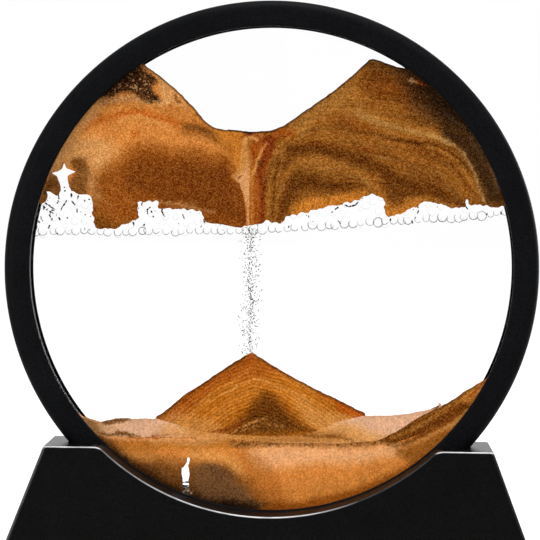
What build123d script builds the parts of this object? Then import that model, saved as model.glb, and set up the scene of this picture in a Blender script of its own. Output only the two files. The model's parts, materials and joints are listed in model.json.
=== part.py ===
"""Liquid motion timer: a sealed round sand picture that turns in a slotted stand.

Millimetres. X is to the right, Y runs from the front to the back and Z is up.
The origin is on the table, under the middle of the stand.
"""
import os
from math import radians, sqrt, tan

from build123d import *

# Driving dimensions of the round frame and its sealed cell
OPENING_RADIUS = 80.4        # clear view through the frame
LIP_OVERLAP = 4.2            # how far the frame's lip covers the glass
FRAME_WALL = 4.1             # moulded wall outside the glass
LIP_THICKNESS = 2.1          # lip in front of the glass
FRAME_ROLL = 3.4             # round between the frame's face and its outside
LIP_BEVEL = 0.7              # bevel round the opening
GLASS_THICKNESS = 3.0
CELL_DEPTH = 6.6             # gap between the panes
SEAL_SETBACK = 0.6           # seal is this far outside the opening
SEAL_EDGE = 0.6              # seal is this far inside the edge of the glass
TONGUE_WIDTH = 1.2           # ridge that joins the two halves of the frame
TONGUE_HEIGHT = 1.4
PARTING_BEVEL = 0.25         # fine groove where the halves meet
PLUG_RADIUS = 1.5            # filling plug, through frame and seal
PLUG_HEAD_RADIUS = 2.6
PLUG_HEAD_THICKNESS = 1.2
PLUG_RECESS = 0.4            # plug's head is this far below the frame's outside

# Driving dimensions of the stand
SHOULDER_DROP = 58.9         # shoulders are this far below the frame's centre
SHOULDER_END = 6.8           # shoulder outside the slot
SIDE_BOX_DEPTH = 16.1        # hollow wall in front of the slot, at the shoulder
SIDE_SLOPE = 20.7            # degrees, the two ends
FACE_SLOPE = 8.0             # degrees, front and back
SCOOP_MARGIN = 0.5           # scoop's radius is this much over the opening's
SCOOP_CORNER = 5.0           # round where the scoop meets the shoulder
STAND_CORNER = 1.4           # round of the four sloping corners
STAND_EDGE = 0.6             # round of the shoulder and scoop edges
STAND_WALL = 2.4
PLATE_THICKNESS = 2.6
BOSS_RADIUS = 3.4
BOSS_END_INSET = 9.5         # screw boss from the end of the shoulder
RIB_THICKNESS = 1.6
RIB_SPACING = 56.0
SCREW_RADIUS = 1.4
SCREW_HEAD_RADIUS = 2.7
SCREW_HEAD_DEPTH = 1.4
SCREW_LENGTH = 10.0
RECESS_WIDTH = 0.7           # cross recess in the screw's head
RECESS_SPAN = 2.8
RECESS_DEPTH = 0.8
FOOT_RADIUS = 5.0
FOOT_PROUD = 1.2             # foot below the stand
FOOT_RECESS = 0.8            # foot let into the plate
FOOT_BEVEL = 0.3
FOOT_END_INSET = 13.0
FOOT_SIDE_INSET = 11.0

# Clearances
GLASS_EDGE_GAP = 0.3
GLASS_FACE_GAP = 0.1
TONGUE_GAP = 0.1
PLUG_GAP = 0.08
CELL_GAP = 0.05
SADDLE_GAP = 0.3
SLOT_SIDE_GAP = 0.4
PLATE_GAP = 0.2
SCREW_GAP = 0.1
NEAR = 0.01                  # tells an edge by its place

# Sand picture, in shares of the cell's radius from its centre: x to the right, z up.
# A third number is the bow of the line from that point to the next one.
UPPER_TOP_SHARES = [
    (-0.66, 0.90, 0.008), (-0.43, 0.75, 0.004), (-0.30, 0.62, -0.012), (-0.21, 0.567), (-0.10, 0.555),
    (-0.03, 0.56, -0.008), (0.08, 0.607), (0.21, 0.70, -0.006), (0.39, 0.86, 0.003), (0.42, 0.86),
    (0.50, 0.833), (0.72, 0.80),
]
UPPER_BOTTOM_SHARES = [
    (-1.08, 0.21), (-0.93, 0.30), (-0.88, 0.30), (-0.875, 0.345), (-0.90, 0.38), (-0.867, 0.39),
    (-0.857, 0.415), (-0.847, 0.39), (-0.815, 0.38), (-0.84, 0.365), (-0.835, 0.33, -0.010), (-0.80, 0.30),
    (-0.75, 0.29), (-0.73, 0.16), (-0.66, 0.155), (-0.555, 0.20), (-0.567, 0.27), (-0.467, 0.27),
    (-0.467, 0.245), (-0.30, 0.235), (-0.27, 0.19), (-0.13, 0.17), (-0.02, 0.195), (0.03, 0.188),
    (0.055, 0.212), (0.21, 0.255), (0.31, 0.275, -0.006), (0.405, 0.318, 0.012), (0.465, 0.265),
    (0.465, 0.24, -0.012), (0.505, 0.225, -0.008), (0.62, 0.288, 0.008), (0.72, 0.262), (0.79, 0.262),
    (0.80, 0.303), (0.818, 0.272), (1.08, 0.262),
]
RAFT_BOTTOM_SHARES = [(-1.10, 0.132), (-0.15, 0.150), (0.12, 0.172), (0.62, 0.208), (1.10, 0.250)]
LOWER_TOP_SHARES = [
    (-1.00, -0.55), (-0.70, -0.64), (-0.64, -0.625), (-0.47, -0.625, -0.004), (-0.36, -0.535, -0.006),
    (-0.10, -0.365, 0.010), (-0.06, -0.365, -0.006), (0.27, -0.54), (0.395, -0.60), (0.51, -0.597, -0.006),
    (0.71, -0.553, -0.004), (0.80, -0.493), (0.89, -0.441), (1.05, -0.36),
]
CONE_FOOT_SHARES = [
    (-0.47, -0.625), (-0.28, -0.675, -0.010), (0.12, -0.685, -0.010), (0.27, -0.63), (0.395, -0.60),
]
BED_TOP_SHARES = [
    (-1.00, -0.69), (-0.57, -0.703), (-0.19, -0.70), (0.0, -0.718), (0.29, -0.718), (0.45, -0.702),
    (0.50, -0.715, -0.008), (0.71, -0.624), (1.00, -0.46),
]
CONE_OUTLINE_SHARES = [*CONE_FOOT_SHARES, (0.395, 0.0), (-0.47, 0.0)]
DRIFT_OUTLINE_SHARES = [
    (0.45, -0.702), (0.54, -0.655), (0.605, -0.61), (0.71, -0.553), (0.71, 0.0), (1.2, 0.0), (1.2, -1.2),
    (0.45, -1.2),
]
NECK_SIDES_SHARES = [(-0.19, 0.60), (-0.13, 0.13), (-0.055, 0.13), (-0.04, 0.60)]
STREAM_SIDES_SHARES = [(-0.115, 0.25), (-0.107, -0.42), (-0.052, -0.42), (-0.057, 0.25)]
AIR_POCKET_SHARES = [
    (-0.345, -0.773), (-0.318, -0.79), (-0.326, -0.835), (-0.325, -0.868), (-0.338, -0.893),
    (-0.355, -0.866), (-0.362, -0.813),
]
BUBBLE_WIDTH = 2.7
BUBBLE_BOW = 0.9

# Derived sizes of the frame and cell
GLASS_RADIUS = OPENING_RADIUS + LIP_OVERLAP
POCKET_RADIUS = GLASS_RADIUS + GLASS_EDGE_GAP
FRAME_RADIUS = POCKET_RADIUS + FRAME_WALL
GLASS_INNER_Y = CELL_DEPTH / 2
GLASS_OUTER_Y = GLASS_INNER_Y + GLASS_THICKNESS
LIP_INNER_Y = GLASS_OUTER_Y + GLASS_FACE_GAP
FRAME_HALF_DEPTH = LIP_INNER_Y + LIP_THICKNESS
SEAL_INNER = OPENING_RADIUS + SEAL_SETBACK
SEAL_OUTER = GLASS_RADIUS - SEAL_EDGE
CELL_RADIUS = SEAL_INNER - CELL_GAP

# Derived sizes of the stand
SADDLE_RADIUS = FRAME_RADIUS + SADDLE_GAP
SCOOP_RADIUS = OPENING_RADIUS + SCOOP_MARGIN
SLOT_HALF = FRAME_HALF_DEPTH + SLOT_SIDE_GAP
PLATE_TOP = FOOT_PROUD + PLATE_THICKNESS
FRAME_CENTRE = PLATE_TOP + PLATE_GAP + STAND_WALL + SADDLE_RADIUS
SHOULDER_Z = FRAME_CENTRE - SHOULDER_DROP
TOP_HALF_WIDTH = sqrt(SADDLE_RADIUS**2 - SHOULDER_DROP**2) + SHOULDER_END
TOP_HALF_DEPTH = SLOT_HALF + SIDE_BOX_DEPTH
CEILING_Z = SHOULDER_Z - STAND_WALL
BOSS_X = TOP_HALF_WIDTH - BOSS_END_INSET
BOSS_Y = (SLOT_HALF + TOP_HALF_DEPTH) / 2


def half_width(z):
    """Half the stand's width at a height."""
    return TOP_HALF_WIDTH + (SHOULDER_Z - z) * tan(radians(SIDE_SLOPE))


def half_depth(z):
    """Half the stand's depth at a height."""
    return TOP_HALF_DEPTH + (SHOULDER_Z - z) * tan(radians(FACE_SLOPE))


FOOT_X = half_width(FOOT_PROUD) - FOOT_END_INSET
FOOT_Y = half_depth(FOOT_PROUD) - FOOT_SIDE_INSET
CORNERS = [(-1, -1), (1, -1), (-1, 1), (1, 1)]
UPWARDS = (Align.CENTER, Align.CENTER, Align.MIN)


def at_disc(shape):
    """Lift a piece that was built round the Y axis to the frame's centre."""
    return Pos(0, 0, FRAME_CENTRE) * shape


def ring(inner, outer, y_from, y_to):
    """A plain ring round the Y axis."""
    section = Pos((inner + outer) / 2, (y_from + y_to) / 2) * Rectangle(outer - inner, y_to - y_from)
    return revolve(section, Axis.Y)


def barrel(radius, half_length):
    """A cylinder along Y at the frame's centre."""
    return at_disc(extrude(Plane.XZ * Circle(radius), half_length, both=True))


def drafted_block(inset, z_from, z_to):
    """The stand's sloping block, drawn in by an inset."""
    low = Rectangle(2 * (half_width(z_from) - inset), 2 * (half_depth(z_from) - inset))
    high = Rectangle(2 * (half_width(z_to) - inset), 2 * (half_depth(z_to) - inset))
    return loft([Pos(0, 0, z_from) * low, Pos(0, 0, z_to) * high], ruled=True)


def in_cell(points):
    """Cell shares to millimetres, as (x, z, bow) triples."""
    return [tuple(CELL_RADIUS * value for value in (*p, 0.0)[:3]) for p in points]


def sand_line(points):
    """Lines and shallow arcs through the points of one sand surface."""
    edges = []
    triples = in_cell(points)
    for (x0, z0, bow), (x1, z1, _) in zip(triples, triples[1:]):
        if bow == 0:
            edges.append(Line((x0, z0), (x1, z1)))
        else:
            edges.append(SagittaArc((x0, z0), (x1, z1), bow))
    return edges


def closed_face(edges):
    """The face inside a line, closed from its end back to its start."""
    start = edges[0] @ 0
    end = edges[-1] @ 1
    return make_face(edges + [Line(end, start)])


def under(edges):
    """The part of the cell below a surface that runs from the left wall to the right one."""
    left = edges[0] @ 0
    right = edges[-1] @ 1
    far = 2 * CELL_RADIUS
    rest = [
        Line(right, (far, right.Y)),
        Line((far, right.Y), (far, -far)),
        Line((far, -far), (-far, -far)),
        Line((-far, -far), (-far, left.Y)),
        Line((-far, left.Y), left),
    ]
    return Circle(CELL_RADIUS) & make_face(edges + rest)


def scalloped(points):
    """Round bubble bottoms, side by side along a line."""
    edges = []
    for (x0, z0, _), (x1, z1, _) in zip(in_cell(points), in_cell(points)[1:]):
        start = Vector(x0, z0)
        run = Vector(x1, z1) - start
        count = max(1, round(run.length / BUBBLE_WIDTH))
        for i in range(count):
            a = start + run * (i / count)
            b = start + run * ((i + 1) / count)
            edges.append(SagittaArc(a, b, -BUBBLE_BOW))
    return edges


def through_cell(face):
    """Run an outline from pane to pane."""
    return at_disc(extrude(Plane.XZ * face, CELL_DEPTH / 2, both=True))


# Frame: two moulded halves with a tongue and a groove
wall_middle = (POCKET_RADIUS + FRAME_RADIUS) / 2
face_y = -FRAME_HALF_DEPTH
half_section = make_face([
    Line((OPENING_RADIUS, face_y + LIP_BEVEL), (OPENING_RADIUS, -LIP_INNER_Y)),
    Line((OPENING_RADIUS, -LIP_INNER_Y), (POCKET_RADIUS, -LIP_INNER_Y)),
    Line((POCKET_RADIUS, -LIP_INNER_Y), (POCKET_RADIUS, 0)),
    Line((POCKET_RADIUS, 0), (FRAME_RADIUS - PARTING_BEVEL, 0)),
    Line((FRAME_RADIUS - PARTING_BEVEL, 0), (FRAME_RADIUS, -PARTING_BEVEL)),
    Line((FRAME_RADIUS, -PARTING_BEVEL), (FRAME_RADIUS, face_y + FRAME_ROLL)),
    RadiusArc((FRAME_RADIUS, face_y + FRAME_ROLL), (FRAME_RADIUS - FRAME_ROLL, face_y), FRAME_ROLL),
    Line((FRAME_RADIUS - FRAME_ROLL, face_y), (OPENING_RADIUS + LIP_BEVEL, face_y)),
    Line((OPENING_RADIUS + LIP_BEVEL, face_y), (OPENING_RADIUS, face_y + LIP_BEVEL)),
])
half_frame = revolve(half_section, Axis.Y)
tongue = ring(
    wall_middle - TONGUE_WIDTH / 2,
    wall_middle + TONGUE_WIDTH / 2,
    -TONGUE_HEIGHT / 2,
    TONGUE_HEIGHT,
)
groove = ring(
    wall_middle - TONGUE_WIDTH / 2 - TONGUE_GAP,
    wall_middle + TONGUE_WIDTH / 2 + TONGUE_GAP,
    -TONGUE_HEIGHT,
    TONGUE_HEIGHT + TONGUE_GAP,
)

# Filling plug at the top of the frame, in the plane where the halves meet
head_top = FRAME_RADIUS - PLUG_RECESS
head_foot = head_top - PLUG_HEAD_THICKNESS
stem_length = head_foot - SEAL_INNER
plug_stem = Pos(0, 0, SEAL_INNER) * extrude(Circle(PLUG_RADIUS), stem_length)
plug_head = Pos(0, 0, head_foot) * extrude(Circle(PLUG_HEAD_RADIUS), PLUG_HEAD_THICKNESS)
plug_bore = Pos(0, 0, CELL_RADIUS - LIP_OVERLAP) * extrude(Circle(PLUG_RADIUS + PLUG_GAP), 3 * LIP_OVERLAP)
head_bore = Pos(0, 0, head_foot) * extrude(Circle(PLUG_HEAD_RADIUS + PLUG_GAP), 2 * FRAME_WALL)

front_bezel = half_frame + tongue - plug_bore - head_bore
rear_bezel = mirror(half_frame, Plane.XZ) - groove - plug_bore - head_bore
front_glass = ring(0, GLASS_RADIUS, -GLASS_OUTER_Y, -GLASS_INNER_Y)
rear_glass = ring(0, GLASS_RADIUS, GLASS_INNER_Y, GLASS_OUTER_Y)
spacer_seal = ring(SEAL_INNER, SEAL_OUTER, -GLASS_INNER_Y, GLASS_INNER_Y) - plug_bore

# Sand picture: surfaces from the top of the cell to the bottom
cell = Circle(CELL_RADIUS)
below_upper_top = under(sand_line(UPPER_TOP_SHARES))
below_upper_bottom = under(sand_line(UPPER_BOTTOM_SHARES))
below_raft = under(scalloped(RAFT_BOTTOM_SHARES))
lower_sand = under(sand_line(LOWER_TOP_SHARES))
below_bed_top = under(sand_line(BED_TOP_SHARES))
upper_sand = below_upper_top - below_upper_bottom
raft = below_upper_bottom - below_raft
neck = upper_sand & closed_face(sand_line(NECK_SIDES_SHARES))
banks = (upper_sand - neck).faces().sort_by(Axis.X)
stream = (closed_face(sand_line(STREAM_SIDES_SHARES)) & below_raft) - lower_sand
pocket = closed_face(sand_line(AIR_POCKET_SHARES))
bed = below_bed_top - pocket
mound = lower_sand - below_bed_top
cone = lower_sand & closed_face(sand_line(CONE_OUTLINE_SHARES))
drift = mound & closed_face(sand_line(DRIFT_OUTLINE_SHARES))
valleys = mound - cone - drift
liquid = cell - upper_sand - raft - stream - lower_sand

# Stand: a hollow moulded shell with a slot for the frame and a scoop on both sides of it
slot = barrel(SADDLE_RADIUS, SLOT_HALF)
scoop = barrel(SCOOP_RADIUS, 2 * TOP_HALF_DEPTH)
block = drafted_block(0, FOOT_PROUD, SHOULDER_Z)
sloping = [e for e in block.edges() if abs((e @ 0).Z - (e @ 1).Z) > STAND_WALL]
block = fillet(sloping, STAND_CORNER)
block = block - slot - scoop
scoop_x = sqrt(SCOOP_RADIUS**2 - SHOULDER_DROP**2)
corners = [
    e for e in block.edges().filter_by(Axis.Y)
    if abs(abs(e.center().X) - scoop_x) < NEAR and abs(e.center().Z - SHOULDER_Z) < NEAR
]
block = fillet(corners, SCOOP_CORNER)
rims = []
for side in (-1, 1):
    face = block.faces().sort_by(Axis.Y)[0 if side < 0 else -1]
    rims += [e for e in face.edges() if e.center().Z > SHOULDER_Z / 2 or e.geom_type != GeomType.LINE]
block = fillet(rims, STAND_EDGE)

hollow = drafted_block(STAND_WALL, 0, CEILING_Z)
hollow = hollow - barrel(SCOOP_RADIUS + STAND_WALL, 2 * TOP_HALF_DEPTH)
hollow = hollow - barrel(SADDLE_RADIUS + STAND_WALL, SLOT_HALF + STAND_WALL)
for x, y in CORNERS:
    rib_height = SHOULDER_Z - PLATE_TOP
    rib = Pos(x * RIB_SPACING / 2, y * BOSS_Y, PLATE_TOP + PLATE_GAP + rib_height / 2)
    hollow = hollow - rib * Box(RIB_THICKNESS, 2 * SIDE_BOX_DEPTH, rib_height)
    hollow = hollow - Pos(x * BOSS_X, y * BOSS_Y, PLATE_TOP) * extrude(Circle(BOSS_RADIUS), SHOULDER_Z)
stand_shell = block - hollow

stand_base_plate = drafted_block(STAND_WALL + PLATE_GAP, FOOT_PROUD, PLATE_TOP)
plate_screws = []
rubber_feet = []
head_sink = SCREW_HEAD_DEPTH + SCREW_GAP
recess = Box(RECESS_WIDTH, RECESS_SPAN, 2 * RECESS_DEPTH)
recess = recess + Box(RECESS_SPAN, RECESS_WIDTH, 2 * RECESS_DEPTH)
for x, y in CORNERS:
    screw_place = Pos(x * BOSS_X, y * BOSS_Y, FOOT_PROUD)
    head = Cone(SCREW_HEAD_RADIUS, SCREW_RADIUS, SCREW_HEAD_DEPTH, align=UPWARDS)
    shank = extrude(Circle(SCREW_RADIUS), SCREW_LENGTH)
    plate_screws.append(screw_place * (Pos(0, 0, SCREW_GAP) * (head + shank - recess)))
    sink = Cone(SCREW_HEAD_RADIUS + SCREW_GAP, SCREW_RADIUS + SCREW_GAP, head_sink, align=UPWARDS)
    stand_base_plate = stand_base_plate - screw_place * sink
    pilot = screw_place * extrude(Circle(SCREW_RADIUS + SCREW_GAP), SCREW_LENGTH + 2 * SCREW_GAP)
    stand_base_plate = stand_base_plate - pilot
    stand_shell = stand_shell - pilot
    foot = extrude(Circle(FOOT_RADIUS), FOOT_PROUD + FOOT_RECESS)
    foot = chamfer(foot.edges().sort_by(Axis.Z)[0], FOOT_BEVEL)
    rubber_feet.append(Pos(x * FOOT_X, y * FOOT_Y, 0) * foot)
    foot_pocket = extrude(Circle(FOOT_RADIUS + SCREW_GAP), FOOT_PROUD + FOOT_RECESS)
    stand_base_plate = stand_base_plate - Pos(x * FOOT_X, y * FOOT_Y, 0) * foot_pocket

NODES = {
    "front_bezel": at_disc(front_bezel),
    "rear_bezel": at_disc(rear_bezel),
    "front_glass": at_disc(front_glass),
    "rear_glass": at_disc(rear_glass),
    "spacer_seal": at_disc(spacer_seal),
    "filling_plug": at_disc(plug_stem + plug_head),
    "liquid": through_cell(liquid),
    "air_bubbles": through_cell(raft + pocket),
    "left_bank_sand": through_cell(banks[0]),
    "neck_sand": through_cell(neck),
    "right_bank_sand": through_cell(banks[-1]),
    "falling_sand": through_cell(stream),
    "cone_sand": through_cell(cone),
    "valley_sand": through_cell(valleys),
    "drift_sand": through_cell(drift),
    "bed_sand": through_cell(bed),
    "stand_shell": stand_shell,
    "stand_base_plate": stand_base_plate,
    "plate_screws": Compound(children=plate_screws),
    "rubber_feet": Compound(children=rubber_feet),
}

os.makedirs("parts", exist_ok=True)
for name, shape in NODES.items():
    export_step(shape, f"parts/{name}.step")
    print(name, round(shape.volume, 1), len(shape.solids()))
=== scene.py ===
# %% [markdown]
# # A round sand picture in its stand
# The object is a sealed disc of liquid, sand and air that turns in a slotted stand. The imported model
# gives every piece its size and place. This file gives the pieces their looks: finishes made of nodes,
# sand that is meshed finely enough to carry painted layers, and a frame, bubbles and grains that come
# from Geometry Nodes.

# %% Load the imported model
import json
import math

import bmesh
import bpy
import numpy as np
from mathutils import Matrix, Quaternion, Vector, geometry, kdtree, noise


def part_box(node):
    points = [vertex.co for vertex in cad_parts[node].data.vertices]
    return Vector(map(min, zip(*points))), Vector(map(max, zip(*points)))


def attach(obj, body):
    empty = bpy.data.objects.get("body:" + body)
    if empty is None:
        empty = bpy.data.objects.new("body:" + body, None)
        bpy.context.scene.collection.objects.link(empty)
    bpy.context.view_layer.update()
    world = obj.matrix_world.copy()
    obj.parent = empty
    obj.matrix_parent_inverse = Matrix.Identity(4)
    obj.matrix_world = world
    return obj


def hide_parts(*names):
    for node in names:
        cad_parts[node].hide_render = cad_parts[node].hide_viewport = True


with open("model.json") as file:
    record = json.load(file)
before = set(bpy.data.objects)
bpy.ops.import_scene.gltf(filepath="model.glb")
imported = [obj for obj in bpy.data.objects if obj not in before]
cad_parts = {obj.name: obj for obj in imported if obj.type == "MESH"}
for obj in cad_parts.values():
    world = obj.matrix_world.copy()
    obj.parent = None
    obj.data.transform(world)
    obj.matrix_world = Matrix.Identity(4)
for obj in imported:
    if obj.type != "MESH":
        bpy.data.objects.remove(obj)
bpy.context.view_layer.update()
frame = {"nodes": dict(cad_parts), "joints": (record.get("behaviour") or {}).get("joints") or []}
nodes = frame["nodes"]

# %% [markdown]
# ## Sizes that the looks need
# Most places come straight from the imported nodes, so a new pack moves the looks with it. The centre of
# the disc is the point that it turns about, and the cell is the space between the panes.

# %% Sizes from the frame
MM = 0.001
CENTRE = Vector(frame["joints"][0]["pos_m"])
cell_low, cell_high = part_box("liquid")
CELL_RADIUS = (cell_high.x - cell_low.x) / 2 / MM
CELL_FRONT = cell_low.y / MM
print("centre", tuple(round(v, 4) for v in CENTRE), "cell radius", round(CELL_RADIUS, 2), "mm")

# %% [markdown]
# ## Camera
# The photograph is taken from a little above the middle of the disc, with a long lens, and leans
# clockwise by less than a degree. A camera could be aimed with a Track To constraint. Here its turn is
# worked out once with to_track_quat and then rolled about its own axis, so that nothing is left to solve
# later.

# %% Camera
EYE = Vector((0.0218, -1.2400, 0.1248))
AIM = Vector((-0.0006, 0.0, 0.0950))
LENS_MM = 247.5
SENSOR_MM = 36
LEAN = math.radians(0.74)

scene = bpy.context.scene
camera = bpy.data.objects.new("camera", bpy.data.cameras.new("camera"))
scene.collection.objects.link(camera)
scene.camera = camera
camera.data.lens = LENS_MM
camera.data.sensor_width = SENSOR_MM
camera.location = EYE
camera.rotation_mode = "QUATERNION"
aimed = (AIM - EYE).to_track_quat("-Z", "Y")
camera.rotation_quaternion = aimed @ Quaternion((0, 0, 1), LEAN)
print("camera is", round((AIM - EYE).length, 3), "m from the disc")

# %% [markdown]
# ## Helpers for node trees
# Every finish and every Geometry Nodes tree below is a few nodes and links. A few helpers keep that
# short. The first adds a node and fills or links its sockets, and the others stand on it: sums, ranges,
# mixes, noise, a new material, and a colour read as it is usually written.


# %% Node helpers
def add(tree, kind, inputs=None, **settings):
    """Add a node. Inputs are keyed by socket name or number, and hold a value or another node's socket."""
    made = tree.nodes.new(kind)
    for key, value in settings.items():
        setattr(made, key, value)
    for key, value in (inputs or {}).items():
        if isinstance(value, bpy.types.NodeSocket):
            tree.links.new(value, made.inputs[key])
        else:
            made.inputs[key].default_value = value
    return made


def calc(tree, operation, *values):
    """A Math node on sockets and numbers, as a socket."""
    return add(tree, "ShaderNodeMath", dict(enumerate(values)), operation=operation).outputs[0]


def multiply(tree, *factors):
    """The product of sockets and numbers, as a socket."""
    product = factors[0]
    for factor in factors[1:]:
        product = calc(tree, "MULTIPLY", product, factor)
    return product


def ramp(tree, value, start, end, low=0.0, high=1.0):
    """value mapped from start..end to low..high and held there, as a socket."""
    return add(tree, "ShaderNodeMapRange", {
        "Value": value, "From Min": start, "From Max": end, "To Min": low, "To Max": high}).outputs[0]


def blend(tree, share, first, second):
    """Two colours mixed by a share, as a socket."""
    return add(tree, "ShaderNodeMix", {"Factor": share, 6: first, 7: second}, data_type="RGBA").outputs[2]


def between(tree, share, first, second):
    """Two numbers mixed by a share, as a socket."""
    return add(tree, "ShaderNodeMix", {0: share, 2: first, 3: second}).outputs[0]


def noise_at(tree, place, scale, detail):
    """Noise of a scale, in waves per metre, as a socket."""
    return add(tree, "ShaderNodeTexNoise", {
        "Vector": place, "Scale": scale, "Detail": detail}).outputs["Fac"]


def object_place(tree):
    """The place on the piece in object coordinates, as a socket."""
    return add(tree, "ShaderNodeTexCoord").outputs["Object"]


def attribute(tree, name):
    """A number that is stored on the piece's points, as a socket."""
    return add(tree, "ShaderNodeAttribute", attribute_name=name).outputs["Fac"]


print("node helpers ready")


# %% Materials and colours
def new_material(name):
    """An empty node material, its tree and its output node."""
    material = bpy.data.materials.new(name)
    material.use_nodes = True
    tree = material.node_tree
    tree.nodes.clear()
    return material, tree, tree.nodes.new("ShaderNodeOutputMaterial")


def shares(hex_colour):
    """An sRGB colour such as 'c47a2c' as three numbers from 0 to 1."""
    return np.array([int(hex_colour[i:i + 2], 16) / 255 for i in (0, 2, 4)])


def linear(hex_colour):
    """The same colour as the linear RGBA that Blender's sockets take."""
    return (*to_linear(shares(hex_colour)), 1.0)


def to_linear(values):
    """sRGB numbers from 0 to 1 as linear light."""
    return np.where(values <= 0.04045, values / 12.92, ((values + 0.055) / 1.055) ** 2.4)


print("mid grey as linear light", round(float(linear("808080")[0]), 3))

# %% [markdown]
# ## Stage: floor, world and lamps
# The object stands on white. The world and the floor answer camera, mirror and see-through rays with
# plain white, and every other ray with a softer light, so that the ground looks white without more light
# falling on the object. The floor adds a share of real diffuse white to that, which is what takes the
# object's shadow.

# %% World
WHITE = (1.0, 1.0, 1.0, 1.0)
AMBIENT = 0.62
scene.view_settings.view_transform = "Standard"
world = bpy.data.worlds.new("studio")
scene.world = world
world.use_nodes = True
tree = world.node_tree
tree.nodes.clear()


def seen_ray(tree):
    """1 for rays that show the background itself: camera, mirror and see-through rays."""
    path = add(tree, "ShaderNodeLightPath")
    seen = path.outputs["Is Camera Ray"]
    for kind in ("Is Glossy Ray", "Is Transmission Ray"):
        seen = calc(tree, "MAXIMUM", seen, path.outputs[kind])
    return seen


strength = ramp(tree, seen_ray(tree), 0.0, 1.0, AMBIENT, 1.0)
sky = add(tree, "ShaderNodeBackground", {"Color": WHITE, "Strength": strength})
tree.links.new(sky.outputs[0], add(tree, "ShaderNodeOutputWorld").inputs["Surface"])
print("world ambient", AMBIENT)

# %% Floor
FLOOR_SIZE = 12.0
FLOOR_GLOW = 0.80
FLOOR_VEIL = linear("a6a6a6")
FLOOR_BOUNCE = linear("b0b0b0")
bpy.ops.mesh.primitive_plane_add(size=FLOOR_SIZE)
floor = bpy.context.object
floor.name = "floor"
floor_white, tree, output = new_material("floor_white")
lit = add(tree, "ShaderNodeBsdfDiffuse", {"Color": FLOOR_BOUNCE})
veil = add(tree, "ShaderNodeBsdfDiffuse", {"Color": FLOOR_VEIL})
glow = add(tree, "ShaderNodeEmission", {"Color": WHITE, "Strength": FLOOR_GLOW})
seen = add(tree, "ShaderNodeAddShader", {0: veil.outputs[0], 1: glow.outputs[0]})
plain = add(tree, "ShaderNodeMixShader", {0: seen_ray(tree), 1: lit.outputs[0], 2: seen.outputs[0]})
tree.links.new(plain.outputs[0], output.inputs["Surface"])
floor.data.materials.append(floor_white)
print("floor", floor.dimensions[:])


# %% Lamps
def soft_lamp(name, place, size, power):
    """A square area lamp that points at the disc."""
    lamp = bpy.data.objects.new(name, bpy.data.lights.new(name, "AREA"))
    scene.collection.objects.link(lamp)
    lamp.data.size = size
    lamp.data.energy = power
    lamp.location = place
    lamp.rotation_mode = "QUATERNION"
    lamp.rotation_quaternion = (CENTRE - Vector(place)).to_track_quat("-Z", "Y")
    return lamp


LAMPS = [
    soft_lamp("key", (0.75, -0.75, 1.00), 0.4, 4.5),
    soft_lamp("fill", (-0.9, -1.1, 0.12), 0.9, 14.0),
    soft_lamp("top", (0.05, -0.08, 1.25), 0.25, 9.0),
    soft_lamp("rear_fill", (0.9, 1.1, 0.12), 0.9, 14.0),
]
print("lamps", [(lamp.name, lamp.data.energy) for lamp in LAMPS])

# %% [markdown]
# ## See-through depth
# A ray from the eye crosses two panes, the liquid and then bubble after bubble. By default Cycles gives up
# after eight such faces and shows black, so the limit is raised until the raft of bubbles stays clear.

# %% Light through many clear layers
CLEAR_LAYERS = 32
scene.cycles.transparent_max_bounces = CLEAR_LAYERS
print("clear layers", CLEAR_LAYERS)

# %% [markdown]
# ## Black plastic, rubber and steel
# The frame and the stand are black moulded plastic with a fine spark-eroded grain. A flat black would
# look like a hole in the picture. Noise at the size of the grain tilts the surface a little and shifts
# its gloss, and a slower noise keeps the black from being even. Rubber takes the same recipe with less
# gloss. On the stand, a pale highlight is painted on the rounded front edges, and the flat shoulders are
# smoother, where the frame is set down. The four screws under the plate are plain steel with a turned look.

# %% Plastic and rubber
BLOTCH_SCALE = 90.0


def moulded(name, dark, light, gloss, specular, grain_mm, grain_depth_mm, highlight_pass=None):
    """A black moulded surface with a fine grain. highlight_pass, when given, paints a highlight into the
    colour and sets the roughness.
    """
    material, tree, output = new_material(name)
    place = object_place(tree)
    grain = noise_at(tree, place, 1 / (grain_mm * MM), 3.0)
    blotch = noise_at(tree, place, BLOTCH_SCALE, 4.0)
    mottle = multiply(tree, ramp(tree, grain, 0.36, 0.64), ramp(tree, blotch, 0.3, 0.7, 0.6, 1.0))
    colour = blend(tree, mottle, linear(dark), linear(light))
    rough = ramp(tree, grain, 0.3, 0.7, *gloss)
    if highlight_pass:
        colour, rough = highlight_pass(tree, colour, rough)
    bump = add(tree, "ShaderNodeBump", {"Strength": 0.5, "Distance": grain_depth_mm * MM, "Height": grain})
    skin = add(tree, "ShaderNodeBsdfPrincipled", {
        "Base Color": colour, "Roughness": rough, "Normal": bump.outputs[0], "Specular IOR Level": specular,
    })
    tree.links.new(skin.outputs[0], output.inputs["Surface"])
    return material


print("blotches", round(1 / BLOTCH_SCALE / MM, 1), "mm")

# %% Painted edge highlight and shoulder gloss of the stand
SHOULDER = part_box("stand_shell")[1].z
# Painted highlight: a pale grey on the rounded front edges in place of the light they catch. It is strongest
# near the shoulders and on the left of the scoop, and broken up by noise.
EDGE_HIGHLIGHT_GREY = linear("d6d6d8")
SHOULDER_GLOSS = 0.26
EDGE_BAND = (SHOULDER - 0.0010, SHOULDER - 0.0005)
FLAT_BAND = (SHOULDER - 0.0004, SHOULDER - 0.0002)
SCOOP_LEFT = (-0.055, -0.012)
SCOOP_RIGHT = (0.006, 0.030)
HIGHLIGHT_BREAK_SCALE = 220.0


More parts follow.
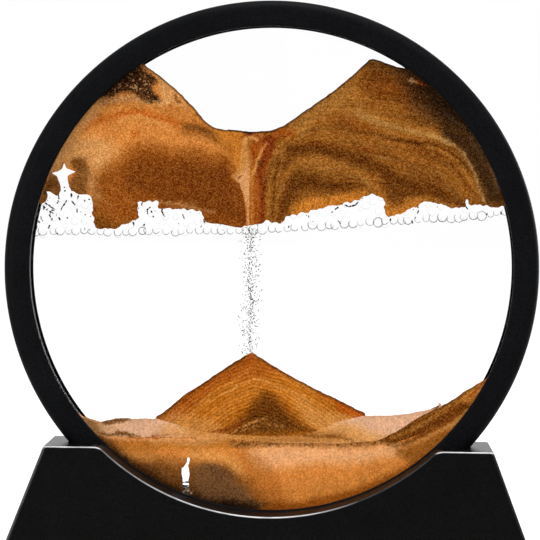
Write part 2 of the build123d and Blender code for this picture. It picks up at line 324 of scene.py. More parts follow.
def stand_highlight_and_gloss(tree, colour, rough):
    """Paints a pale highlight on the rounded front edges, and makes the flat shoulders smooth where the
    frame goes in.
    """
    coordinates = add(tree, "ShaderNodeTexCoord")
    facing = add(tree, "ShaderNodeSeparateXYZ", {0: coordinates.outputs["Normal"]}).outputs
    spot = add(tree, "ShaderNodeSeparateXYZ", {0: coordinates.outputs["Object"]}).outputs
    sideways = calc(tree, "ABSOLUTE", facing[1])
    rounded = multiply(tree, ramp(tree, sideways, 0.15, 0.40), ramp(tree, sideways, 0.98, 0.85),
                       ramp(tree, facing[2], 0.20, 0.50))
    on_top = ramp(tree, spot[2], *EDGE_BAND)
    left = ramp(tree, spot[0], *SCOOP_LEFT, 0.22, 1.0)
    right = ramp(tree, spot[0], *SCOOP_RIGHT, 1.0, 0.05)
    along = calc(tree, "MAXIMUM", multiply(tree, left, right), on_top)
    patchy = noise_at(tree, coordinates.outputs["Object"], HIGHLIGHT_BREAK_SCALE, 3.0)
    # Share of the painted highlight: rounded, upward-facing front edges along the scoop and the shoulders.
    painted_highlight = multiply(tree, rounded, along, ramp(tree, patchy, 0.30, 0.55, 0.55, 1.0))
    flat = ramp(tree, spot[2], *FLAT_BAND)
    return blend(tree, painted_highlight, colour, EDGE_HIGHLIGHT_GREY), between(tree, flat, rough, SHOULDER_GLOSS)


frame_black = moulded("frame_black", "000000", "131417", (0.48, 0.66), 0.04, 0.42, 0.04)
# The stand's finish carries a painted highlight on its rounded front edges.
stand_black = moulded("stand_black", "000000", "101011", (0.42, 0.58), 0.04, 0.40, 0.012, stand_highlight_and_gloss)
seal_black = moulded("seal_black", "0a0a0a", "1c1b1a", (0.55, 0.80), 0.20, 0.60, 0.05)
print("moulded finishes", frame_black.name, stand_black.name, seal_black.name)

# %% Screw steel
TURNING_SCALE = 2600.0
screw_steel, tree, output = new_material("screw_steel")
turned = noise_at(tree, object_place(tree), TURNING_SCALE, 2.0)
skin = add(tree, "ShaderNodeBsdfPrincipled", {
    "Base Color": blend(tree, turned, linear("a3a4a8"), linear("d2d2d4")),
    "Roughness": ramp(tree, turned, 0.0, 1.0, 0.22, 0.48), "Metallic": 1.0})
tree.links.new(skin.outputs[0], output.inputs["Surface"])
print("steel", screw_steel.name)

# %% [markdown]
# ## Glass and liquid
# Between the panes the real cell is full of water, so the eye sees no surface until the outer face of the
# glass. Refracting glass would be true but slow and noisy, and a thin flat cell hardly bends the view. So
# the panes are see-through skins with a mirror on top that grows towards the edge, and a faint smear in
# its gloss. The liquid touches glass and sand all round and mirrors nothing. It only has a trace of haze.

# %% Pane finish
PANE_MIRROR = 1.05
SMEAR_SCALE = 40.0
pane_clear, tree, output = new_material("pane_clear")
smear = noise_at(tree, object_place(tree), SMEAR_SCALE, 3.0)
through = add(tree, "ShaderNodeBsdfTransparent", {"Color": WHITE})
mirror = add(tree, "ShaderNodeBsdfGlossy", {
    "Color": WHITE, "Roughness": ramp(tree, smear, 0.0, 1.0, 0.01, 0.05)})
share = add(tree, "ShaderNodeFresnel", {"IOR": PANE_MIRROR})
mixed = add(tree, "ShaderNodeMixShader", {0: share.outputs[0], 1: through.outputs[0], 2: mirror.outputs[0]})
tree.links.new(mixed.outputs[0], output.inputs["Surface"])
print("pane finish", pane_clear.name)

# %% Liquid finish
HAZE_SCALE = 25.0
liquid_clear, tree, output = new_material("liquid_clear")
haze = noise_at(tree, object_place(tree), HAZE_SCALE, 2.0)
through = add(tree, "ShaderNodeBsdfTransparent", {"Color": blend(tree, haze, linear("fefefe"), WHITE)})
tree.links.new(through.outputs[0], output.inputs["Surface"])
print("liquid finish", liquid_clear.name)

# %% [markdown]
# ## Finishes for the nodes that stay
# The stand, its plate, screws and feet, the panes, the liquid, the seal and the plug already have the
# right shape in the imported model. They keep it, and only their material slot is filled here.

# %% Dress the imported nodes
FINISHES = {
    "stand_shell": stand_black, "stand_base_plate": stand_black, "plate_screws": screw_steel,
    "rubber_feet": seal_black, "spacer_seal": seal_black, "filling_plug": seal_black,
    "front_glass": pane_clear, "rear_glass": pane_clear, "liquid": liquid_clear,
}
for name, material in FINISHES.items():
    nodes[name].data.materials.clear()
    nodes[name].data.materials.append(material)
print("dressed", len(FINISHES), "packed nodes")

# %% [markdown]
# ## Helpers for Geometry Nodes
# A tree takes a host mesh and a few named numbers. Once it has run, its result is kept as a plain mesh
# and the modifier goes, so the piece is ordinary geometry like any other. Sizes in a tree are in metres.


# %% Tree helpers
def new_tree(name, sizes):
    """A Geometry Nodes tree with named number inputs. Gives the tree, its inputs and its output node."""
    tree = bpy.data.node_groups.new(name, "GeometryNodeTree")
    tree.interface.new_socket("Geometry", in_out="INPUT", socket_type="NodeSocketGeometry")
    for label, value in sizes.items():
        kind = "NodeSocketInt" if isinstance(value, int) else "NodeSocketFloat"
        tree.interface.new_socket(label, in_out="INPUT", socket_type=kind).default_value = value
    tree.interface.new_socket("Geometry", in_out="OUTPUT", socket_type="NodeSocketGeometry")
    return tree, tree.nodes.new("NodeGroupInput").outputs, tree.nodes.new("NodeGroupOutput")


def new_piece(name, mesh):
    """An object at the origin for a mesh that is already in place."""
    piece = bpy.data.objects.new(name, mesh)
    scene.collection.objects.link(piece)
    return piece


def grow(name, host, tree, sizes):
    """Run a tree on a host mesh and keep what it made as a plain mesh."""
    piece = new_piece(name, host)
    modifier = piece.modifiers.new("grow", "NODES")
    modifier.node_group = tree
    for socket in tree.interface.items_tree:
        if socket.in_out == "INPUT" and socket.name in sizes:
            modifier[socket.identifier] = sizes[socket.name]
    ready = piece.evaluated_get(bpy.context.evaluated_depsgraph_get())
    mesh = bpy.data.meshes.new_from_object(ready)
    piece.modifiers.clear()
    piece.data = mesh
    mesh.name = name
    print(name, len(mesh.vertices), "vertices", len(mesh.polygons), "faces")
    return piece


def line_mesh(name, *lines, closed=False):
    """A mesh of edges only, as a host that a tree turns into curves."""
    points = []
    edges = []
    for line in lines:
        first = len(points)
        points += line
        edges += [(i, i + 1) for i in range(first, len(points) - 1)]
        if closed:
            edges.append((len(points) - 1, first))
    mesh = bpy.data.meshes.new(name)
    mesh.from_pydata(points, edges, [])
    return mesh


print("tree helpers ready")

# %% [markdown]
# ## Frame halves
# The round frame is moulded in two halves that meet in the middle of its depth. Each half is one section
# swept round the disc, which is a rule, so a tree does it: the section becomes a curve, follows a circle,
# is laid on the axis of the disc, and has the hole for the filling plug cut out at the top. The section
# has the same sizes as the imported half, with a true round in place of the bevel round the opening.

# %% Section of one half
OPENING_RADIUS = 80.4
POCKET_RADIUS = 84.9
LIP_INNER = 6.4
FRAME_ROLL = 3.4
LIP_ROUND = 0.7
PARTING_BEVEL = 0.25
TONGUE = (86.35, 87.55, 1.4)
GROOVE = (86.25, 87.65, 1.5)
bezel_low, bezel_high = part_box("front_bezel")
FRAME_RADIUS = (bezel_high.x - bezel_low.x) / 2 / MM
FACE = bezel_low.y / MM


def quarter(centre, radius, start, steps):
    """Points on a quarter circle, clockwise from a start angle in degrees."""
    turns = [math.radians(start - 90 * i / steps) for i in range(steps + 1)]
    return [(centre[0] + radius * math.cos(t), centre[1] + radius * math.sin(t)) for t in turns]


def half_section(step):
    """Section of the front frame half as (radius, depth) in millimetres; step is its tongue or groove."""
    inner, outer, rise = step
    rolled = quarter((FRAME_RADIUS - FRAME_ROLL, FACE + FRAME_ROLL), FRAME_ROLL, 0, 10)
    lip = quarter((OPENING_RADIUS + LIP_ROUND, FACE + LIP_ROUND), LIP_ROUND, 270, 5)
    return [
        (OPENING_RADIUS, -LIP_INNER), (POCKET_RADIUS, -LIP_INNER), (POCKET_RADIUS, 0.0),
        (inner, 0.0), (inner, rise), (outer, rise), (outer, 0.0),
        (FRAME_RADIUS - PARTING_BEVEL, 0.0), (FRAME_RADIUS, -PARTING_BEVEL), *rolled, *lip,
    ]


print("section points", len(half_section(TONGUE)))

# %% Tree that sweeps the section
BORE_LENGTH = 0.012
BORE_SIDES = 48
SWEEP = {"Ring radius": 0.085, "Height": 0.1, "Segments": 288, "Bore radius": 0.0027, "Bore foot": 0.18}
tree, given, result = new_tree("sweep_frame_half", SWEEP)
section = add(tree, "GeometryNodeMeshToCurve", {"Mesh": given["Geometry"]})
circle = add(tree, "GeometryNodeCurvePrimitiveCircle", {
    "Resolution": given["Segments"], "Radius": given["Ring radius"],
})
upright = add(tree, "GeometryNodeSetCurveNormal", {"Curve": circle.outputs["Curve"]}, mode="Z_UP")
swept = add(tree, "GeometryNodeCurveToMesh", {
    "Curve": upright.outputs["Curve"], "Profile Curve": section.outputs["Curve"],
})
lift = add(tree, "ShaderNodeCombineXYZ", {"Z": given["Height"]})
laid = add(tree, "GeometryNodeTransform", {
    "Geometry": swept.outputs["Mesh"], "Translation": lift.outputs[0], "Rotation": (math.pi / 2, 0, 0),
})
bore = add(tree, "GeometryNodeMeshCylinder", {
    "Vertices": BORE_SIDES, "Radius": given["Bore radius"], "Depth": BORE_LENGTH,
})
bore_place = add(tree, "ShaderNodeCombineXYZ", {"Z": given["Bore foot"]})
bored = add(tree, "GeometryNodeTransform", {
    "Geometry": bore.outputs["Mesh"], "Translation": bore_place.outputs[0],
})
cut = add(tree, "GeometryNodeMeshBoolean", {
    "Mesh 1": laid.outputs["Geometry"], "Mesh 2": bored.outputs["Geometry"],
}, operation="DIFFERENCE", solver="EXACT")
smooth = add(tree, "GeometryNodeSetShadeSmooth", {"Geometry": cut.outputs["Mesh"]})
whole = add(tree, "GeometryNodeRealizeInstances", {"Geometry": smooth.outputs["Geometry"]})
dressed = add(tree, "GeometryNodeSetMaterial", {"Geometry": whole.outputs[0], "Material": frame_black})
tree.links.new(dressed.outputs[0], result.inputs[0])
sweep_tree = tree
print("tree", tree.name, len(tree.nodes), "nodes")

# %% Two halves
plug_low, plug_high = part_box("filling_plug")
PLUG_GAP = 0.08
PLUG_HEAD = 1.2
MERGE_GAP = 2e-6
CRISP_DEGREES = 32
sweep_sizes = {
    "Ring radius": POCKET_RADIUS * MM,
    "Height": CENTRE.z,
    "Bore radius": (plug_high.x - plug_low.x) / 2 + PLUG_GAP * MM,
    "Bore foot": plug_high.z - PLUG_HEAD * MM + BORE_LENGTH / 2,
}


def tidy_shell(mesh, sharp_degrees):
    """Merge doubles, point the faces outwards and keep the real edges crisp."""
    shape = bmesh.new()
    shape.from_mesh(mesh)
    bmesh.ops.remove_doubles(shape, verts=shape.verts, dist=MERGE_GAP)
    bmesh.ops.recalc_face_normals(shape, faces=shape.faces)
    shape.to_mesh(mesh)
    shape.free()
    mesh.set_sharp_from_angle(angle=math.radians(sharp_degrees))


for name, side, step in (("front_frame_half", 1, TONGUE), ("rear_frame_half", -1, GROOVE)):
    inner, outer, rise = step
    outline = half_section((inner, outer, rise if side > 0 else -rise))
    points = [((r - POCKET_RADIUS) * MM, side * y * MM, 0.0) for r, y in outline]
    half = grow(name, line_mesh(name + "_section", points, closed=True), sweep_tree, sweep_sizes)
    tidy_shell(half.data, CRISP_DEGREES)
    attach(half, "picture")
    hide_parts("front_bezel" if side > 0 else "rear_bezel")

# %% [markdown]
# ## Sand bodies: outlines
# Each body of sand fills the cell from pane to pane, so its shape is an outline with depth. The outline
# is read from the front face of the imported node, so the looks stay where the solid is. It is then walked
# at even steps and made ragged the way loose grains lie. Where the sand rests on bubbles, each bubble
# bites a round piece out of it, which cellular noise gives. Blender's noise starts from the clock, so it
# is given a seed, and every run makes the same sand. Two small shapes are drawn from listed points: the
# air pocket in the bed, and the spike of air that rises into the sand at the left wall.

# %% Read an outline
CORNER_GAP = 1e-6
FRONT_FACING = -0.9


def front_outlines(name):
    """Closed outlines of a node's front face, in millimetres from the disc's centre, counterclockwise."""
    shape = bmesh.new()
    shape.from_mesh(nodes[name].data)
    bmesh.ops.remove_doubles(shape, verts=shape.verts, dist=CORNER_GAP)
    front = [face for face in shape.faces if face.normal.y < FRONT_FACING]
    known = set(front)
    onward = {}
    for face in front:
        for corner in face.loops:
            if not any(other in known for other in corner.edge.link_faces if other is not face):
                onward.setdefault(corner.vert.index, []).append(corner.link_loop_next.vert.index)
    shape.verts.ensure_lookup_table()
    places = [((v.co.x - CENTRE.x) / MM, (v.co.z - CENTRE.z) / MM) for v in shape.verts]
    shape.free()
    outlines = []
    while onward:
        at = min(onward)
        walk = []
        while at in onward:
            walk.append(places[at])
            following = onward[at].pop()
            if not onward[at]:
                del onward[at]
            at = following
        outlines.append(np.array(walk))
    return outlines


LIQUID_LINES = front_outlines("liquid")
RAFT_LINE = max(front_outlines("air_bubbles"), key=lambda line: np.ptp(line[:, 0]))
print("liquid outlines", len(LIQUID_LINES), "raft points", len(RAFT_LINE))

# %% Outlines given as listed points
POCKET_LINE = np.array([
    (-27.8, -65.6), (-28.6, -66.8), (-29.6, -67.3), (-29.6, -69), (-29.1, -71.3), (-29, -74.6),
    (-27.4, -74.4), (-26.7, -74.8), (-26.6, -72.4), (-26.8, -71.2), (-26.4, -69.6), (-26.6, -67.8),
    (-27, -66.4), (-26.4, -65.1), (-26.3, -63.9), (-26.9, -63.3), (-27.7, -63.8)])
SPIKE_LINE = np.array([
    (-78.3, 20.2), (-76.5, 21.1), (-75.6, 22.3), (-76, 24.9), (-74.3, 24.6), (-73, 23.9), (-72.1, 23.2),
    (-71.3, 25), (-71.3, 26), (-71.6, 27.3), (-72.2, 28.3), (-72.4, 29.6), (-74.8, 30.8), (-72.3, 31.4),
    (-71, 32.2), (-69.9, 35), (-68.8, 32.4), (-65.6, 31.5), (-67.8, 30.2), (-68.3, 29.6),
    (-68.3, 28.2), (-67.8, 26.4), (-67.3, 25.1), (-65.9, 24.6), (-64.7, 23.9), (-61.7, 23.8),
    (-60.4, 23.2), (-60.1, 21.8)])


def with_spike(outline):
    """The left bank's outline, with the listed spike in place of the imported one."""
    first, last = [np.hypot(*(outline - end).T).argmin() for end in SPIKE_LINE[[0, -1]]]
    kept = np.roll(outline, -(last + 1), axis=0)[:(first - last) % len(outline)]
    return np.vstack([kept, SPIKE_LINE])


print("pocket points", len(POCKET_LINE), "spike points", len(SPIKE_LINE))


# %% Measure lines
def to_line(points, line, closed):
    """Distance of points from a line, and which of them a closed line surrounds."""
    ends = np.roll(line, -1, axis=0) if closed else line[1:]
    nearest = np.full(len(points), np.inf)
    inside = np.zeros(len(points), bool)
    x, z = points.T
    for (ax, az), (bx, bz) in zip(line, ends):
        run_x = bx - ax
        run_z = bz - az
        share = ((x - ax) * run_x + (z - az) * run_z) / max(run_x ** 2 + run_z ** 2, 1e-12)
        share = share.clip(0, 1)
        nearest = np.minimum(nearest, np.hypot(x - ax - share * run_x, z - az - share * run_z))
        if closed and run_z:
            inside ^= ((az > z) != (bz > z)) & (x < ax + (z - az) * run_x / run_z)
    return nearest, inside


def even_steps(outline, step):
    """Points at an even spacing along a closed outline."""
    corners = np.vstack([outline, outline[:1]])
    along = np.concatenate([[0.0], np.cumsum(np.hypot(*np.diff(corners, axis=0).T))])
    count = max(8, int(along[-1] / step))
    stations = np.arange(count) * along[-1] / count
    return np.stack([np.interp(stations, along, corners[:, k]) for k in (0, 1)], axis=1)


print("raft edge", len(even_steps(RAFT_LINE, 1.0)), "mm round")

# %% Make an outline ragged
NOISE_SEED = 7
noise.seed_set(NOISE_SEED)
EDGE_STEP = 0.36
EDGE_WOBBLES = ((1.9, 0.16), (0.7, 0.12))
EDGE_SLICE = 3.7
BITE_SPACING = 2.3
BITE_REACH = 0.62
BITE_DEPTH = 0.8
BITE_SLICE = 0.4
SEAM_OVERLAP = 0.12
AIR_OVERLAP = 0.5
TOUCHING = 0.2
WALL_BAND = 0.6
WALL_GAP = 0.03


def by_wall(points):
    """Which points lie at the cell's wall."""
    return np.hypot(*points.T) > CELL_RADIUS - WALL_BAND


def near_any(points, lines):
    """Which points lie on one of some closed lines, away from the cell's wall."""
    touching = np.min([to_line(points, line, True)[0] for line in lines], axis=0) < TOUCHING
    return touching & ~by_wall(points)


def ragged(outline, swell, bulge):
    """An outline with loose grains on its edge, swollen or bitten by what it touches; its open points."""
    line = even_steps(outline, EDGE_STEP)
    run = np.roll(line, -1, axis=0) - np.roll(line, 1, axis=0)
    outward = np.stack([run[:, 1], -run[:, 0]], axis=1) / np.hypot(*run.T)[:, None].clip(1e-9)
    by_air = near_any(line, [RAFT_LINE]) & (line[:, 0] > SPIKE_LINE[-1, 0])
    is_open = near_any(line, LIQUID_LINES) & ~by_air
    height, spread, middle = bulge
    swollen = swell + height * np.exp(-np.sum((line - middle) ** 2, axis=1) / spread ** 2)
    covered = np.where(by_air, AIR_OVERLAP, SEAM_OVERLAP)
    reach = np.where(is_open, swollen, covered)
    moved = line + reach[:, None] * outward
    for i, (x, z) in enumerate(line):
        for scale, size in EDGE_WOBBLES:
            shift = noise.noise_vector(Vector((x / scale, EDGE_SLICE, z / scale)))
            moved[i] += (size * shift.x, size * shift.z)
        if by_air[i]:
            near = noise.voronoi(Vector((x / BITE_SPACING, BITE_SLICE, z / BITE_SPACING)))[0][0]
            moved[i] -= outward[i] * BITE_DEPTH * max(0.0, 1 - (near / BITE_REACH) ** 2)
    radius = np.hypot(*moved.T)
    limit = CELL_RADIUS - WALL_GAP
    radius_kept = np.where(by_wall(line), limit, np.minimum(radius, limit))
    moved *= (radius_kept / radius)[:, None]
    return moved, moved[is_open]


print("edge step", EDGE_STEP, "mm")

# %% [markdown]
# ## Sand bodies: mesh
# A filled curve would give long thin triangles that can't carry colour. So each face is filled with
# points on a loose grid and joined by constrained Delaunay triangulation, which keeps the ragged outline
# as edges. The same triangles make the front and the rear face, and rings of points between them make the
# grainy walls.

# %% Fill an outline
ROW_SHARE = 0.87
EDGE_CLEAR = 0.5
KEEP_INSIDE = 2
MERGE_MM = 1e-4


def loose_grid(low, high, step, draw):
    """A staggered grid of points with some disorder."""
    rows = np.arange(low[1], high[1], step * ROW_SHARE)
    columns = np.arange(low[0], high[0], step)
    x, z = np.meshgrid(columns, rows)
    x[1::2] += step / 2
    grid = np.stack([x.ravel(), z.ravel()], axis=1)
    return grid + draw.uniform(-step / 4, step / 4, grid.shape)


def within_lines(points, lines):
    """Distance of points from some closed lines, and which of them lie inside, holes left out."""
    gap = np.full(len(points), np.inf)
    inside = np.zeros(len(points), bool)
    for line in lines:
        away, within = to_line(points, line, True)
        gap = np.minimum(gap, away)
        inside ^= within
    return gap, inside


def fill(points, lines):
    """Points joined into triangles. The first points are those of closed lines, which stay as edges."""
    sides = []
    for line in lines:
        first = len(sides)
        sides += [(first + i, first + (i + 1) % len(line)) for i in range(len(line))]
    corners = [Vector(point) for point in points.tolist()]
    made, _, faces, *_ = geometry.delaunay_2d_cdt(corners, sides, [], KEEP_INSIDE, MERGE_MM)
    return made, faces


print("triangles in the air pocket", len(fill(POCKET_LINE, [POCKET_LINE])[1]))

# %% Give it depth and walls
CAP_DEPTH = 0.10
WALL_RINGS = (0.25, 0.5, 0.75)
WALL_RELIEF = 0.2
RELIEF_MM = 1.3


def wall_of(place, faces, depth):
    """Front face, rear face and the rings between them, as vertices and faces."""
    count = len(place)
    spots = [(x, -depth, z) for x, z in place] + [(x, depth, z) for x, z in place]
    skin = [tuple(face) for face in faces] + [tuple(count + i for i in reversed(face)) for face in faces]
    runs = [(face[i - 1], face[i]) for face in faces for i in range(len(face))]
    known = set(runs)
    rim = [(a, b) for a, b in runs if (b, a) not in known]
    outward = np.zeros((count, 2))
    for a, b in rim:
        run = place[b] - place[a]
        outward[[a, b]] += (run[1], -run[0])
    outward /= np.hypot(*outward.T)[:, None].clip(1e-9)
    chain = {a: [a] for a, _ in rim}
    for share in WALL_RINGS:
        y = depth * (2 * share - 1)
        for a, column in chain.items():
            x, z = place[a]
            swell = noise.noise(Vector((x / RELIEF_MM, y / RELIEF_MM, z / RELIEF_MM))) - 0.5
            push = outward[a] * swell * WALL_RELIEF
            column.append(len(spots))
            spots.append((x + push[0], y, z + push[1]))
    for a, column in chain.items():
        column.append(count + a)
    for a, b in rim:
        for i in range(len(WALL_RINGS) + 1):
            skin.append((chain[a][i], chain[a][i + 1], chain[b][i + 1], chain[b][i]))
    return spots, skin


def sand_mesh(name, outlines, step, swell, bulge, inset, draw):
    """A closed body of sand. Gives the mesh, each vertex's place on the disc and the open edge, in mm."""
    lines, open_points = zip(*[ragged(outline, swell, bulge) for outline in outlines])
    edge = np.vstack(lines)
    grid = loose_grid(edge.min(0), edge.max(0), step, draw)
    gap, inside = within_lines(grid, lines)
    flat = np.vstack([edge, grid[inside & (gap > EDGE_CLEAR * step)]])
    made, faces = fill(flat, lines)
    place = np.array([(p.x, p.y) for p in made])
    middles = np.array([place[face].mean(0) for face in faces])
    faces = [face for face, kept in zip(faces, within_lines(middles, lines)[1]) if kept]
    depth = -CELL_FRONT - CAP_DEPTH - inset
    spots, skin = wall_of(place, faces, depth)
    mesh = bpy.data.meshes.new(name)
    mesh.from_pydata([(x * MM + CENTRE.x, y * MM, z * MM + CENTRE.z) for x, y, z in spots], [], skin)
    return mesh, np.array([(x, z) for x, _, z in spots]), np.vstack(open_points)


print("cap depth", CAP_DEPTH, "mm")

# %% [markdown]
# ## Sand bodies: colour
# The sand has settled in veils of different colours, which run along the flow of the grains. They are
# painted as on a real sand picture: patches are soft-edged areas, streaks are soft lines. Points
# are in millimetres from the disc's centre, x to the right and z up. The places are warped by noise
# before painting, so that edges wander as sand does. The result is stored on the vertices, which the
# finish then reads.
# Some veils are painted light and shade, not sand colour: a near-black painted shadow along the frame's
# inner edge at the upper left, the upper right and the bed's lower-left wall, and a pale painted light along
# the frame's left inner edge.

# %% Sand colours
ORANGE = "c27a34"
LIGHT_ORANGE = "d4853f"
BRIGHT_ORANGE = "bf742a"
ORANGE_BROWN = "874816"
PALE_ORANGE = "d2904c"
PEACH = "d39558"
PALE_PEACH = "dfa06c"
# Pale peach of the painted light along the frame's left inner edge.
PAINTED_LIGHT_PEACH = "f0ac68"
PALE_FRINGE = "b98756"
PALE_TAN = "b58a50"
TAN = "a56a2c"
RUST = "b4571a"
RUST_BROWN = "984c19"
RED_BROWN = "7c3411"
BROWN = "87501e"
DARK_BROWN = "713a11"
DEEP_BROWN = "5e330f"
SMOKE_BROWN = "744820"
SMOKE_GREY = "6a4c33"
GREY_BROWN = "6e5746"
OLIVE_BROWN = "5c3d1c"
OLIVE = "3f2917"
UMBER = "4a2d19"
NEAR_BLACK = "1b130d"
FILM_WHITE = "f2f0ec"
FILM_GREY = "8a8a80"
print("sand colours from", NEAR_BLACK, "to", FILM_WHITE)

# %% Brushes
LINE_STEPS = 4
STREAK_FEATHER = 1.6
MINGLE = 0.8
WARPS = ((9.0, 1.0), (2.6, 0.45))
WARP_SLICE = 11.3
SCATTER = 0.22


def smooth_line(points, closed):
    """A rounded line through hand-placed points."""
    corners = np.array(points, float)
    count = len(corners)
    if count < 3:
        return corners
    pieces = []
    for i in range(count if closed else count - 1):
        picks = [i - 1, i, i + 1, i + 2]
        picks = [p % count if closed else min(max(p, 0), count - 1) for p in picks]
        a, b, c, d = corners[picks]
        for t in np.linspace(0, 1, LINE_STEPS, endpoint=False):
            pieces.append(0.5 * (2 * b + (c - a) * t + (2 * a - 5 * b + 4 * c - d) * t ** 2
                                 + (3 * b - a - 3 * c + d) * t ** 3))
    if not closed:
        pieces.append(corners[-1])
    return np.array(pieces)


def patch(colour, strength, feather, points, speck=0.0):
    """An area of colour with a soft edge."""
    return shares(colour), strength, 0.0, feather, smooth_line(points, True), True, speck


def streak(colour, strength, half_width, points, speck=0.0):
    """A line of colour that fades out to both sides."""
    feather = STREAK_FEATHER * half_width
    return shares(colour), strength, half_width, feather, smooth_line(points, False), False, speck


def paint(places, base, strokes, loose, draw):
    """Colours (sRGB) and speck shares for places, from strokes over a base. Edges mingle grain by grain."""
    colours = np.tile(shares(base), (len(places), 1))
    specks = np.zeros(len(places))
    for colour, strength, reach, feather, line, closed, speck in strokes:
        margin = reach + feather
        near = np.all((places > line.min(0) - margin) & (places < line.max(0) + margin), axis=1)
        if not near.any():
            continue
        gap, inside = to_line(places[near], line, closed)
        signed = np.where(inside, -gap, gap - reach)
        cover = (0.5 - signed / feather).clip(0, 1)
        cover = cover * cover * (3 - 2 * cover)
        mingled = loose * draw.uniform(-MINGLE, MINGLE, len(cover)) * cover * (1 - cover)
        cover = (cover + mingled).clip(0, 1)
        colours[near] += (colour - colours[near]) * (strength * cover)[:, None]
        specks[near] += (speck - specks[near]) * cover
    return colours, specks


def warped(places, loose, draw):
    """Places moved by slow and fine noise, so that painted edges wander and break up into grains."""
    moved = places + draw.normal(0.0, loose * SCATTER, places.shape)
    for i, (x, z) in enumerate(places):
        for scale, reach in WARPS:
            shift = noise.noise_vector(Vector((x / scale, WARP_SLICE, z / scale)))
            moved[i] += (loose * reach * shift.x, loose * reach * shift.z)
    return moved


print("brushes: patch, streak; warps", WARPS)

